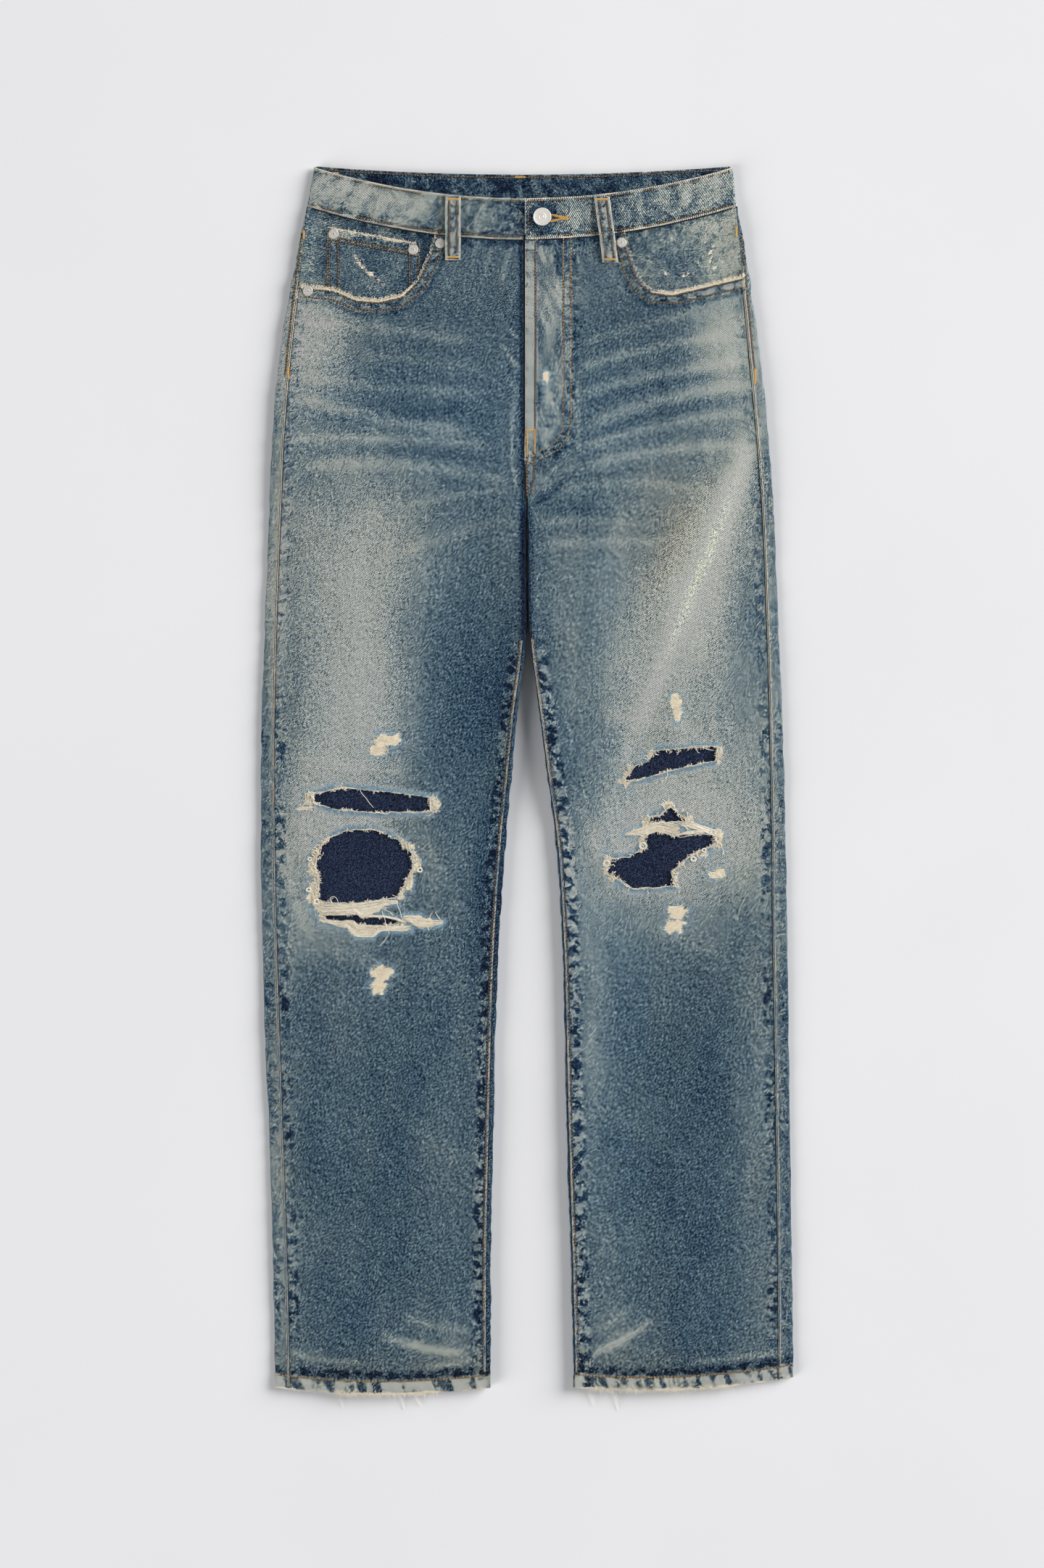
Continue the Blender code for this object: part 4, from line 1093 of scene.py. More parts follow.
class Threads:
    """Tubes of one kind, gathered and then joined into one mesh."""

    def __init__(self, name, material, sides=4):
        self.name, self.material, self.sides = name, material, sides
        self.points, self.faces, self.tint = [], [], []
        self.total = 0

    def add(self, paths, radius, tint, taper=0.35):
        """Tubes whose ends are thinner; tint is one value for each tube."""
        rings = paths.shape[1]
        place = np.linspace(0, 1, rings)
        shape = taper + (1 - taper) * np.clip(4 * place * (1 - place) * 1.5, 0, 1)
        radii = np.asarray(radius).reshape(-1, 1) * shape[None, :] * np.ones((len(paths), 1))
        points, faces = tubes(paths, radii, self.sides)
        self.points.append(points)
        self.faces.append(faces + self.total)
        self.tint.append(np.repeat(np.broadcast_to(tint, len(paths)), rings * self.sides))
        self.total += len(points)

    def build(self):
        """The mesh, which stands for no CAD node."""
        mesh = bpy.data.meshes.new(self.name)
        points = np.concatenate(self.points) * MM
        mesh.from_pydata(points.tolist(), [], np.concatenate(self.faces).tolist())
        tint = np.concatenate(self.tint).astype(np.float32)
        mesh.attributes.new("tint", "FLOAT", "POINT").data.foreach_set("value", tint)
        finish_piece(mesh, [self.material])


# ---------------------------------------------------------------- materials

def srgb(r, g, b):
    """A linear colour from 0-255 display levels."""
    levels = [v / 255 for v in (r, g, b)]
    return tuple(((v + 0.055) / 1.055) ** 2.4 if v > 0.04 else v / 12.92 for v in levels) + (1.0,)


COOL = ((0.0, (14, 30, 56)), (0.12, (28, 52, 82)), (0.24, (53, 80, 104)), (0.34, (71, 97, 118)),
        (0.46, (95, 119, 136)), (0.58, (127, 148, 154)), (0.78, (177, 188, 181)), (1.0, (254, 245, 216)))
WARM = ((0.0, (24, 34, 46)), (0.12, (46, 60, 70)), (0.24, (68, 82, 92)), (0.34, (88, 100, 104)),
        (0.46, (118, 124, 119)), (0.58, (146, 152, 140)), (0.78, (192, 193, 164)), (1.0, (254, 240, 194)))
REVERSE = ((0.0, (40, 52, 74)), (0.4, (98, 110, 124)), (0.7, (150, 156, 160)), (1.0, (205, 203, 196)))
NAVY = ((0.0, (22, 29, 48)), (0.3, (38, 48, 72)), (0.6, (56, 70, 96)), (1.0, (110, 122, 140)))
COTTON = ((0.0, (104, 134, 158)), (0.3, (158, 182, 198)), (0.42, (206, 206, 196)), (0.6, (232, 218, 190)),
          (1.0, (250, 243, 228)))
GOLD = ((0.0, (116, 94, 64)), (0.45, (172, 138, 86)), (1.0, (224, 176, 96)))
CREAM = srgb(238, 226, 200)
FUZZ = ((0.0, (58, 88, 110)), (0.5, (128, 158, 174)), (1.0, (186, 204, 210)))


class Signal:
    """A value in a shader: sums, differences and products of it are Math nodes."""

    def __init__(self, shader, socket):
        self.shader, self.socket = shader, socket

    def math(self, operation, other, clamp=False):
        return self.shader.value("Math", {0: self, 1: other}, operation=operation, use_clamp=clamp)

    def __add__(self, other):
        return self.math("ADD", other)

    def __sub__(self, other):
        return self.math("SUBTRACT", other)

    def __rsub__(self, other):
        return self.shader.value("Math", {0: other, 1: self}, operation="SUBTRACT")

    def __mul__(self, other):
        return self.math("MULTIPLY", other)

    def __radd__(self, other):
        return self.shader.value("Math", {0: other, 1: self}, operation="ADD")


class Shader:
    """A material with a Principled shader, and short ways to add nodes to it."""

    def __init__(self, name, roughness, metallic=0.0, **constants):
        self.material = bpy.data.materials.new(name)
        self.material.use_nodes = True
        self.tree = self.material.node_tree
        self.shader = self.tree.nodes["Principled BSDF"]
        self.shader.inputs["Roughness"].default_value = roughness
        self.shader.inputs["Metallic"].default_value = metallic
        for key, value in constants.items():
            self.shader.inputs[key.replace("_", " ")].default_value = value

    def put(self, node, key, value):
        if isinstance(value, Signal):
            value = value.socket
        if isinstance(value, bpy.types.NodeSocket):
            self.tree.links.new(value, node.inputs[key])
        else:
            node.inputs[key].default_value = value

    def add(self, kind, inputs=None, **settings):
        node = self.tree.nodes.new("ShaderNode" + kind)
        for key, value in settings.items():
            setattr(node, key, value)
        for key, value in (inputs or {}).items():
            self.put(node, key, value)
        return node

    def value(self, kind, inputs=None, output=0, **settings):
        return Signal(self, self.add(kind, inputs, **settings).outputs[output])

    def field(self, name):
        return self.value("Attribute", output="Fac", attribute_name=name)

    def noise(self, vector, scale, detail=2.0, roughness=0.5):
        inputs = {"Vector": vector, "Scale": scale, "Detail": detail, "Roughness": roughness}
        return self.value("TexNoise", inputs, "Fac")

    def step(self, value, low, high, kind="SMOOTHSTEP"):
        """0 below low and 1 above high."""
        inputs = {"Value": value, "From Min": low, "From Max": high}
        return self.value("MapRange", inputs, interpolation_type=kind)

    def mapped(self, vector, scale=(1, 1, 1), turn=0.0):
        inputs = {"Vector": vector, "Scale": scale, "Rotation": (0, 0, math.radians(turn))}
        return self.add("Mapping", inputs).outputs[0]

    def ramp(self, value, stops):
        node = self.add("ValToRGB", {"Fac": value})
        ramp = node.color_ramp
        while len(ramp.elements) < len(stops):
            ramp.elements.new(0.5)
        for element, (place, color) in zip(ramp.elements, stops):
            element.position = place
            element.color = srgb(*color)
        return node.outputs["Color"]

    def mix(self, share, a, b):
        return self.add("Mix", {0: share, 6: a, 7: b}, data_type="RGBA").outputs[2]

    def gamma(self, colour, power):
        return self.add("Gamma", {"Color": colour, "Gamma": power}).outputs[0]

    def vector(self, operation, a, b):
        return self.add("VectorMath", {0: a, 1: b}, operation=operation).outputs[0]

    def bump(self, height, distance, strength):
        inputs = {"Height": height, "Distance": distance, "Strength": strength}
        self.put(self.shader, "Normal", self.add("Bump", inputs).outputs[0])

    def colour(self, value):
        self.put(self.shader, "Base Color", value)


def denim(name, turn=38, ramps=(COOL, WARM), twill=1.0, speckle=1.0, lean=-14):
    """Worn twill. Its colour goes by the wear field: how faded it is and, in some places, painted shade; the
    weave and the noises then scale the colour's display level, so that dark cloth stays as blue as it is.
    turn and lean are the slants of the twill and of the roping in degrees, and twill and speckle how strong
    the weave and the noises are."""
    made = Shader(name, 0.95, Specular_IOR_Level=0.08, Sheen_Weight=0.03, Sheen_Roughness=0.6)
    cloth = made.add("UVMap", uv_map="cloth").outputs[0]
    leaning = made.mapped(cloth, turn=turn)
    inputs = {"Vector": leaning, "Scale": 2 * math.pi / 20 / (TWILL_PITCH * MM), "Distortion": 1.1,
              "Detail": 2.0, "Detail Scale": 1.6, "Detail Roughness": 0.6}
    wave = made.value("TexWave", inputs, "Fac", wave_type="BANDS", bands_direction="X")
    grain = made.noise(cloth, 950.0, 1.0, 0.6)
    dashes = made.noise(made.mapped(leaning, (1000, 300, 1)), 1.0, 1.0, 0.5)
    clump = made.noise(cloth, 400.0, 2.0, 0.6)
    streak = made.noise(made.mapped(cloth, (520, 190, 1)), 1.0, 2.0, 0.6)
    weft = made.noise(made.mapped(cloth, (90, 900, 1)), 1.0, 1.0, 0.5)
    bumps = made.noise(made.mapped(cloth, (115, 125, 1)), 1.0, 2.0, 0.55)
    ropes = made.noise(made.mapped(made.mapped(cloth, turn=lean), (105, 24, 1)), 1.0, 1.0, 0.5)
    mottle = made.noise(made.mapped(cloth, (130, 90, 1)), 1.0, 3.0, 0.6)
    shade = made.noise(cloth, 600.0, 2.0, 0.6) - 0.5

    # wear with painted shade in some places
    wear = made.field("wear")
    pucker = 0.0
    for field, pattern, level in (("pucker", bumps, 0.88), ("rope", ropes, 0.72)):
        crisp = made.step(pattern + (clump - 0.5) * 0.35, 0.40, 0.55)
        raised = made.field(field) * (crisp - level)
        wear = wear + raised * 0.36
        pucker = pucker + raised

    # the twill shows most in cloth that is half faded
    bare = (1.12 - wear) * (8.0 * twill)
    ribs = ((wear - 0.14) * (6.0 * twill)).math("MINIMUM", bare).math("MAXIMUM", 0.25 * twill)
    parts = ((grain, 3.4), (dashes, 2.4), (clump, 0.35), (streak, 0.8), (weft, 0.3), (mottle, 0.45))
    noises = sum((part - 0.5) * amount for part, amount in parts)
    weave = (wave - 0.5) * ribs + noises * (1.3 * speckle - wear * (0.6 * speckle))
    tinge = shade * (1.1 * speckle)
    channels = enumerate(((1.24, 0.80), (1.0, 0.84), (0.76, 0.86)))
    gains = {k: weave * share + level + tinge * (k - 1.0) for k, (share, level) in channels}
    gains = made.vector("MAXIMUM", made.add("CombineXYZ", gains).outputs[0], (0.15, 0.15, 0.15))

    warm = (made.field("tone") + shade * 2.2).math("ADD", 0.30, clamp=True)
    colour = made.mix(warm, made.ramp(wear, ramps[0]), made.ramp(wear, ramps[1]))
    colour = made.vector("MULTIPLY", made.gamma(colour, 1 / 2.2), gains)
    colour = made.gamma(made.vector("MINIMUM", colour, (0.95, 0.95, 0.95)), 2.2)
    soft = clump * 1.1 + grain * 1.1 - 0.6
    colour = made.mix(made.field("fuzz"), colour, made.ramp(soft, FUZZ))
    cotton = made.step(made.field("cream") + (grain + weft - 1.0) * 0.9, 0.34, 0.66)
    made.colour(made.mix(cotton, colour, CREAM))
    made.bump(wave * 0.7 + (grain + clump) + pucker * 1.6, 0.0005, 0.5)
    return made.material


def thread_material(name, stops, roughness=0.85):
    """Spun thread, its colour going by the tint of each length of it."""
    made = Shader(name, roughness, Specular_IOR_Level=0.3, Sheen_Weight=0.1)
    place = made.add("TexCoord").outputs["Object"]
    tint = made.field("tint") + (made.noise(place, 420.0, 2.0) - 0.5) * 0.7
    made.colour(made.ramp(tint, stops))
    made.bump(made.noise(place, 2600.0, 1.0), 0.0002, 0.5)
    return made.material


def metal_material(name, colour, dull, roughness, metallic):
    """A cast fastener: brushed in some patches and dull in others, spread by noise."""
    made = Shader(name, roughness, metallic)
    place = made.add("TexCoord").outputs["Object"]
    spots = made.noise(place, 900.0, 3.0, 0.6)
    made.colour(made.mix(made.step(spots, 0.42, 0.68, "LINEAR"), srgb(*colour), srgb(*dull)))
    rough = made.value("MapRange", {"Value": spots, "To Min": roughness - 0.1, "To Max": roughness + 0.2})
    made.put(made.shader, "Roughness", rough)
    made.bump(made.noise(place, 2200.0, 2.0), 0.0001, 0.4)
    return made.material


def floor_material():
    """Pale matt ground with the faintest mottling."""
    made = Shader("pale_ground", 0.95, Specular_IOR_Level=0.1)
    place = made.add("TexCoord").outputs["Object"]
    share = made.noise(place, 2.2, 4.0, 0.55)
    made.colour(made.mix(share, srgb(229, 229, 231), srgb(237, 237, 239)))
    made.bump(made.noise(place, 3.0, 3.0), 0.004, 0.25)
    return made.material


DENIM = denim("worn_denim")
DENIM_BAND = denim("worn_denim_band", -51, twill=0.8, speckle=0.9, lean=-48)
DENIM_INSIDE = denim("denim_reverse", 38, (REVERSE, REVERSE), 0.4, 0.6)
FACING = denim("inner_denim", 62, twill=0.45, speckle=0.75)
PATCH = denim("patch_denim", 38, (NAVY, NAVY), 0.3, 0.7)
# painted shade: near-black tubes laid in the grooves of seams and stitches and under raised edges
SHADE_THREAD = thread_material("painted_shade_thread", ((0.0, (10, 16, 30)), (1.0, (26, 38, 58))))
COTTON_THREAD = thread_material("bare_cotton", COTTON)
GOLD_THREAD = thread_material("gold_thread", GOLD, 0.6)
BUTTON_METAL = metal_material("pale_metal", (238, 234, 228), (222, 217, 210), 0.42, 0.3)
RIVET_METAL = metal_material("aged_metal", (226, 223, 216), (170, 164, 155), 0.45, 0.35)

stitches = Threads("topstitching", GOLD_THREAD)
cords = Threads("seam_cotton", COTTON_THREAD)
frays = Threads("frayed_cotton", COTTON_THREAD, 3)
rims = Threads("frayed_rims", COTTON_THREAD, 3)
# the tubes of painted shade
shade_tubes = Threads("painted_groove_shades", SHADE_THREAD, 3)


# ---------------------------------------------------------------- cloth pieces

def front_levels():
    """Levels of a panel's rows, from the hem up: closer in the rolled edge of the hem."""
    hem = [HEM, -551.4, -550.5, -549.2, -547.6, -546, -544.4, -542.8, -541.3, -540, -538.6, -537.2, -535.6]
    top = np.linspace(500, BAND_SEAM - 0.15, 13)[1:]
    return np.concatenate([hem, np.linspace(-533.6, 500, 370), top])


INSIDE_WEAR = 0.45
EDGE_STEPS = np.array([0, 0.6, 1.3, 2.3, 3.7, 5.4, 7.4])


def front_runs(line, level):
    """Lengths of a row's points along the cloth, from the side seam to the inner edge."""
    begin = outseam(level) + GAP / 2
    end = front_end(line, level)
    between = np.linspace(begin + 9.7, end - 9.7, 74)
    return np.concatenate([begin + EDGE_STEPS, between, end - EDGE_STEPS[::-1]])


def leg_grid(side, levels, runs_of, plan_y):
    """Base points, outward directions, lengths and levels of a grid on one leg's tube."""
    rows = []
    for level in levels:
        level = float(level)
        line = cloth_line(side, level)
        runs = runs_of(line, level)
        x, z, normal_x, normal_z = line.sample(runs)
        y = plan_y(x, level, line, runs)
        rows.append(np.column_stack([x, y, z, normal_x, 0 * x, normal_z, runs, 0 * x + level]))
    rows = np.array(rows)
    points = rows[..., :3]
    return points, grid_normals(points, rows[..., 3:6]), rows[..., 6:8]


def on_front(x, level, line, runs):
    """A leg_grid's plan_y for cloth of the front."""
    return front_level(x, level)


def wall_at(level):
    """Thickness of the cloth, which is doubled in the hem."""
    return CLOTH + (HEM_CLOTH - CLOTH) * smoothstep(level, -537, -539.5)


def front_panel(side):
    """A front leg, cut out at its pocket mouth and its holes."""
    points, normal, coord = leg_grid(side, front_levels(), front_runs, on_front)
    x, y = points[..., 0], points[..., 1]
    outer = points + normal * front_relief(x, y)[..., None]
    inner = outer - normal * wall_at(coord[..., 1])[..., None]
    mouth = POCKET_MOUTHS[side]
    beyond = 300 * OUTWARD[side]
    scoop = jagged(mouth, 71, 1.2, 0.35, closed=False)
    scoop += [(mouth[-1][0], 600), (beyond, 600), (beyond, mouth[0][1])]
    outlines = [scoop] + [jagged(v, 73) for k, v in TORN_HOLES.items() if k.startswith(side)]
    fields = np.concatenate([outer, inner, coord], axis=-1).reshape(-1, 8)
    plan, fields, faces = cut_out(points[..., :2].reshape(-1, 2), fields, grid_quads(*x.shape), outlines)
    worn = front_wear_and_shade(*plan.T)
    worn["wear"] = (worn["wear"], INSIDE_WEAR)
    shell(f"front_panel_{side}", fields[:, :3], fields[:, 3:6], fields[:, 6:8], worn, [DENIM, DENIM_INSIDE],
          faces=faces)


def under_piece(node, side, levels, ends, depth_at, wear_at, material, steps=60, blotch=0.0):
    """A piece behind the front, made from the front's own points. ends are its lengths from the
    side seam, or back from the inner edge where they are less than 0."""
    def runs_of(line, level):
        begin = outseam(level) + GAP / 2
        end = front_end(line, level)
        return np.linspace(*[end + v if v < 0 else begin + v for v in ends], steps)

    points, normal, coord = leg_grid(side, levels, runs_of, on_front)
    x, y = points[..., 0], points[..., 1]
    beside = coord[..., 0] - np.array([outseam(float(v)) for v in levels])[:, None]
    outer = points + normal * (front_relief(x, y, own=False) - depth_at(beside, y))[..., None]
    wear, cream = wear_at(x, y)
    shell(node, outer, outer - normal * INNER_CLOTH, coord, {"wear": wear, "cream": cream, "pucker": blotch},
          [material])


def just_under(beside, y):
    """An under_piece's depth_at for cloth that lies against the front."""
    return UNDER_FRONT


def pocket_facing(side):
    """The denim seen inside a pocket mouth."""
    mouth_end = POCKET_MOUTHS[side][0][1]

    def depth(beside, y):
        below_mouth = smoothstep(y, mouth_end + 8, mouth_end + 1)
        return FACING_SINK * np.maximum(smoothstep(beside, 0, 14), below_mouth)

    def wear_at(x, y):
        if side == "r":
            wear = 0.34 + 0.12 * fbm(x / 22, y / 18, 81) + 0.10 * smoothstep(x, -150, -195)
            cream = stroke(x, y, *POCKET_SCRATCH, 4, 1.5, 8) * (0.10 + 0.45 * noise(x / 3, y / 3, 83))
        else:
            wear = 0.52 + 0.07 * fbm(x / 22, y / 18, 85) - 0.06 * smoothstep(x, 130, 90)
            wear = wear - 0.08 * band(x, 120, 160, 20) * band(y, 440, 475, 15)
            wear = wear + 0.14 * smoothstep(x, 135, 170)
            chips = [spot(x, y, row, 0.8) for row in FACING_CHIPS]
            cream = (0.5 + 0.35 * noise(x / 0.8, y / 2.5, 87)) * functools.reduce(np.maximum, chips)
        waist = front_seam(x) - y
        wear = wear + np.exp(-np.abs(waist) / 9) * (0.20 * ripple(x, waist, 9, 27) - 0.06)
        return np.clip(wear, 0, 1), cream

    levels = np.linspace(FACING_BOTTOM + 1, BAND_SEAM - 0.2, 52)
    under_piece(f"pocket_facing_{side}", side, levels, (0, 140), depth, wear_at, FACING,
                62, 0.3)


def knee_patch(side):
    """The dark patch behind a torn knee."""
    def wear_at(x, y):
        return 0.30 + 0.05 * fbm(x / 30, y / 40, 87), 0.0

    under_piece(f"knee_patch_{side}", side, np.linspace(-134, 37, 58), (24, 186), just_under, wear_at, PATCH)


def fly_shield():
    """The strip under the fly."""
    def wear_at(x, y):
        return 0.30, 0.0

    under_piece("fly_shield", "l", np.linspace(283, BAND_SEAM - 0.2, 80), (-44, -1.2), just_under, wear_at,
                FACING, 20)


def coin_top(x):
    """Level of the coin pocket's upper edge."""
    share = (x - COIN_POCKET["outer"]) / (COIN_POCKET["inner"] - COIN_POCKET["outer"])
    return COIN_POCKET["top_outer"] + (COIN_POCKET["top_inner"] - COIN_POCKET["top_outer"]) * share


def coin_height(x, y):
    """Height of the right facing over a place in plan, which the coin pocket lies on."""
    return top_height(x, y) + front_relief(x, y, own=False) - UNDER_FRONT


def coin_pocket():
    """The small pocket on the right facing."""
    columns = np.linspace(COIN_POCKET["outer"], COIN_POCKET["inner"], 44)[None, :]
    top = coin_top(columns)
    y = COIN_POCKET["bottom"] + (top - COIN_POCKET["bottom"]) * np.linspace(0, 1, 40)[:, None]
    x = np.broadcast_to(columns, y.shape)
    below_top = top - y
    side_in = np.minimum(x - COIN_POCKET["outer"], COIN_POCKET["inner"] - x)
    folded = ripple(x, below_top, 9, 91)
    rise = 0.3 * band(below_top, 0, 11, 1) + 0.25 * band(side_in, 0, 9, 1)
    rise = rise + 0.4 * band(below_top, 0, 7, 3) * folded - 0.45 * np.exp(-side_in / 0.8)
    wear = 0.40 + 0.08 * fbm(x / 20, y / 16, 93) - 0.08 * smoothstep(x, -130, -100)
    wear = wear + band(below_top, 1, 10, 3) * (0.12 + 0.16 * folded)
    wear = wear + np.exp(-side_in / 5) * (0.12 * ripple(y, side_in, 9, 95))
    scratch = stroke(x, y, -160, 478, -128, 448, 2, 3.0, 6) * (0.7 + 0.5 * noise(x / 3, y / 3, 83))
    wavy = below_top - 1.6 * noise(x / 5, 0, 96)
    cream = np.maximum(0.75 * smoothstep(wavy, 2.2, 0.4), 0.8 * np.clip(scratch, 0, 1))
    cream = np.maximum(cream, 0.45 * bell(side_in, 0.8))
    outer = np.dstack([x, y, coin_height(x, y) + rise])
    fields = {"wear": np.clip(wear, 0, 1), "cream": cream, "pucker": 0.2 + 0.6 * band(below_top, 2, 9, 2)}
    shell("coin_pocket", outer, outer - [0, 0, INNER_CLOTH], outer[..., :2], fields, [FACING])


def back_runs(line, level):
    """Lengths of a row's points along the cloth of the back: closer where it folds."""
    begin = back_begin(line, level)
    end = outseam(level) - GAP / 2
    if level > CENTRE_SEAM:
        near = begin + np.array([0, 1, 2, 4, 7])
    else:
        near = begin + np.linspace(0, line.under_corner - begin, 5)
    fold_end = 0.4 * line.top_fold if end > 4 else 0.4
    fold = np.linspace(line.under_fold, fold_end, 5)
    wrap = np.linspace(fold_end, end, 13)[1:]
    under = np.linspace(near[-1], line.under_fold, 30)[1:-1]
    return np.concatenate([near, under, fold, wrap])


def onto_top(coord, side):
    """0 under the leg and 1 on top of it, across the outer fold and up the inner wall."""
    outer = np.zeros(coord.shape[:2])
    inner = np.zeros(coord.shape[:2])
    for r, level in enumerate(coord[:, 0, 1]):
        line = cloth_line(side, float(level))
        runs = coord[r, :, 0]
        outer[r] = smoothstep(runs, 0.6 * line.under_fold, max(0.6, 0.8 * line.top_fold))
        if level <= CENTRE_SEAM:
            inner[r] = smoothstep(runs, line.under_corner, back_begin(line, level))
    return np.maximum(outer, inner)


def back_shell(node, side, levels, plan_y):
    """A piece of the back, which wraps round both folds onto the front."""
    points, normal, coord = leg_grid(side, levels, back_runs, plan_y)
    x, y = points[..., 0], points[..., 1]
    top = onto_top(coord, side)
    rise = front_relief(x, y) * top + back_relief(x, y) * (1 - top)
    rise = rise + 0.35 * ripple(y, 0 * x, 26, 97) * top * (1 - top) * 4
    outer = points + normal * rise[..., None]
    outer[..., 2] = np.maximum(outer[..., 2], OFF_GROUND)
    inner = outer - normal * wall_at(coord[..., 1])[..., None]
    worn = front_wear_and_shade(x, y)
    seam = seam_distances(x, y)[0]
    wear = worn["wear"] + 0.05 * bell(seam, 7) + 0.10 * bell(coord[..., 0], 2.2)
    fields = {"wear": (wear * top + back_wear(x, y) * (1 - top), INSIDE_WEAR),
              "cream": (worn["cream"] * top, 0.0), "tone": (worn["tone"] * top, 0.0),
              "pucker": (0.5 * worn["pucker"] * top, 0.0), "rope": (worn["rope"], 0.0)}
    shell(node, outer, inner, coord, fields, [DENIM, DENIM_INSIDE])


def back_panel(side):
    """A back leg, from the hem to the yoke seam."""
    def plan_y(x, level, line, runs):
        share = np.clip((level - BACK_SLOPE) / (YOKE_SIDE - BACK_SLOPE), 0, 1)
        sloped = BACK_SLOPE + share * (yoke_seam(x) - GAP / 2 - BACK_SLOPE)
        return np.where(share > 0, sloped, level + hem_shift(x, level))

    levels = front_levels()
    levels = np.append(levels[levels < YOKE_SIDE - 1], YOKE_SIDE)
    back_shell(f"back_panel_{side}", side, levels, plan_y)


def yoke(side):
    """The part of the back between the back leg and the waistband."""
    levels = np.linspace(YOKE_SIDE, BAND_SEAM - 0.15, 22)

    def plan_y(x, level, line, runs):
        onto_front = smoothstep(runs, line.under_fold, line.top_fold)
        share = (level - YOKE_SIDE) / (levels[-1] - YOKE_SIDE)
        low = yoke_seam(x) + GAP / 2
        high = back_seam(x) + (front_seam(x) - back_seam(x)) * onto_front - GAP / 2
        return low + share * (high - low)

    back_shell(f"yoke_{side}", side, levels, plan_y)


BAND_SHARES = (0, 0.02, 0.05, 0.10, 0.17, 0.25, 0.33, 0.41, 0.5, 0.59, 0.67, 0.75, 0.83, 0.90, 0.95, 0.98, 1)


def lap_height(x):
    """How far the waistband's left end stands up over its right end."""
    return LAP_RISE * smoothstep(x, BAND_LAP + 22, BAND_LAP + 4)


def lap_depth(x):
    """How far the waistband's right end sinks under its left end."""
    return 1.3 * smoothstep(x, -22, -4)


def band_line(share):
    """The waistband's line a share of the way up it: along the lap, across the right front, round
    the back and across the left front. Columns are x, z, its outward direction, 1 where it is on
    the front, and 1 on the lap and the right."""
    level = BAND_SEAM + share * (BAND_TOP - BAND_SEAM)
    parts = []
    for side in OUTWARD:
        line = cloth_line(side, level)
        runs = np.concatenate([np.linspace(line.under_corner, line.under_fold, 60),
                               np.linspace(line.under_fold, line.top_fold, 11)[1:],
                               np.linspace(line.top_fold, line.top_corner, 84)[1:]])
        onto_front = smoothstep(runs, line.under_fold, line.top_fold)
        right = np.full(len(runs), side == "r")
        part = np.column_stack([*line.sample(runs), onto_front, right])
        parts.append(part[::-1] if side == "r" else part[1:])
    lap_x = np.linspace(BAND_LAP, parts[0][0, 0], 14)[:-1]
    lap_z = top_height(lap_x, arched(lap_x, level, FRONT_DIP))
    flat = np.ones(len(lap_x))
    parts.insert(0, np.column_stack([lap_x, lap_z, 0 * flat, flat, flat, flat]))
    return np.concatenate(parts).T


def band_row(share):
    """Outer and inner points of one row of the waistband, and what its wear goes by."""
    x, z, normal_x, normal_z, onto_front, right = band_line(share)
    front_y = front_seam(x) + GAP / 2
    front_y = front_y + share * (front_top(x) - front_y)
    back_y = back_seam(x) + GAP / 2
    back_y = back_y + share * (back_top(x) - back_y)
    y = back_y + (front_y - back_y) * onto_front
    along = np.concatenate([[0], np.cumsum(np.hypot(np.diff(x), np.diff(z)))])
    z = z + np.where(onto_front > 0.99, np.where(right, -lap_depth(x), lap_height(x)), 0)
    from_end = np.minimum(along, along[-1] - along)
    edge = min(share, 1 - share) * (BAND_TOP - BAND_SEAM)
    leaning = ripple(along + 14 * share, share * 20, 13, 101)
    rise = 0.55 * leaning + 0.25 * fbm(along / 9, share * 5, 103) - 0.55 * np.exp(-edge / 0.7)
    rise = rise - 0.3 * bell(edge - 2.4, 0.8) - 0.5 * np.exp(-from_end / 0.8)
    rise = rise + 0.30 * np.exp(-np.minimum(edge, from_end) / 3.0)
    rise = rise * (0.3 + 0.7 * onto_front)
    size = np.hypot(normal_x, normal_z)
    normal = np.column_stack([normal_x / size, 0 * x, normal_z / size])
    outer = np.column_stack([x, y, z]) + normal * rise[:, None]
    outer[:, 2] = np.maximum(outer[:, 2], OFF_GROUND)
    same = np.ones(len(x))
    return outer, outer - normal * BAND_CLOTH, np.column_stack([along, share * same, edge * same, from_end,
                                                                onto_front, x, leaning])


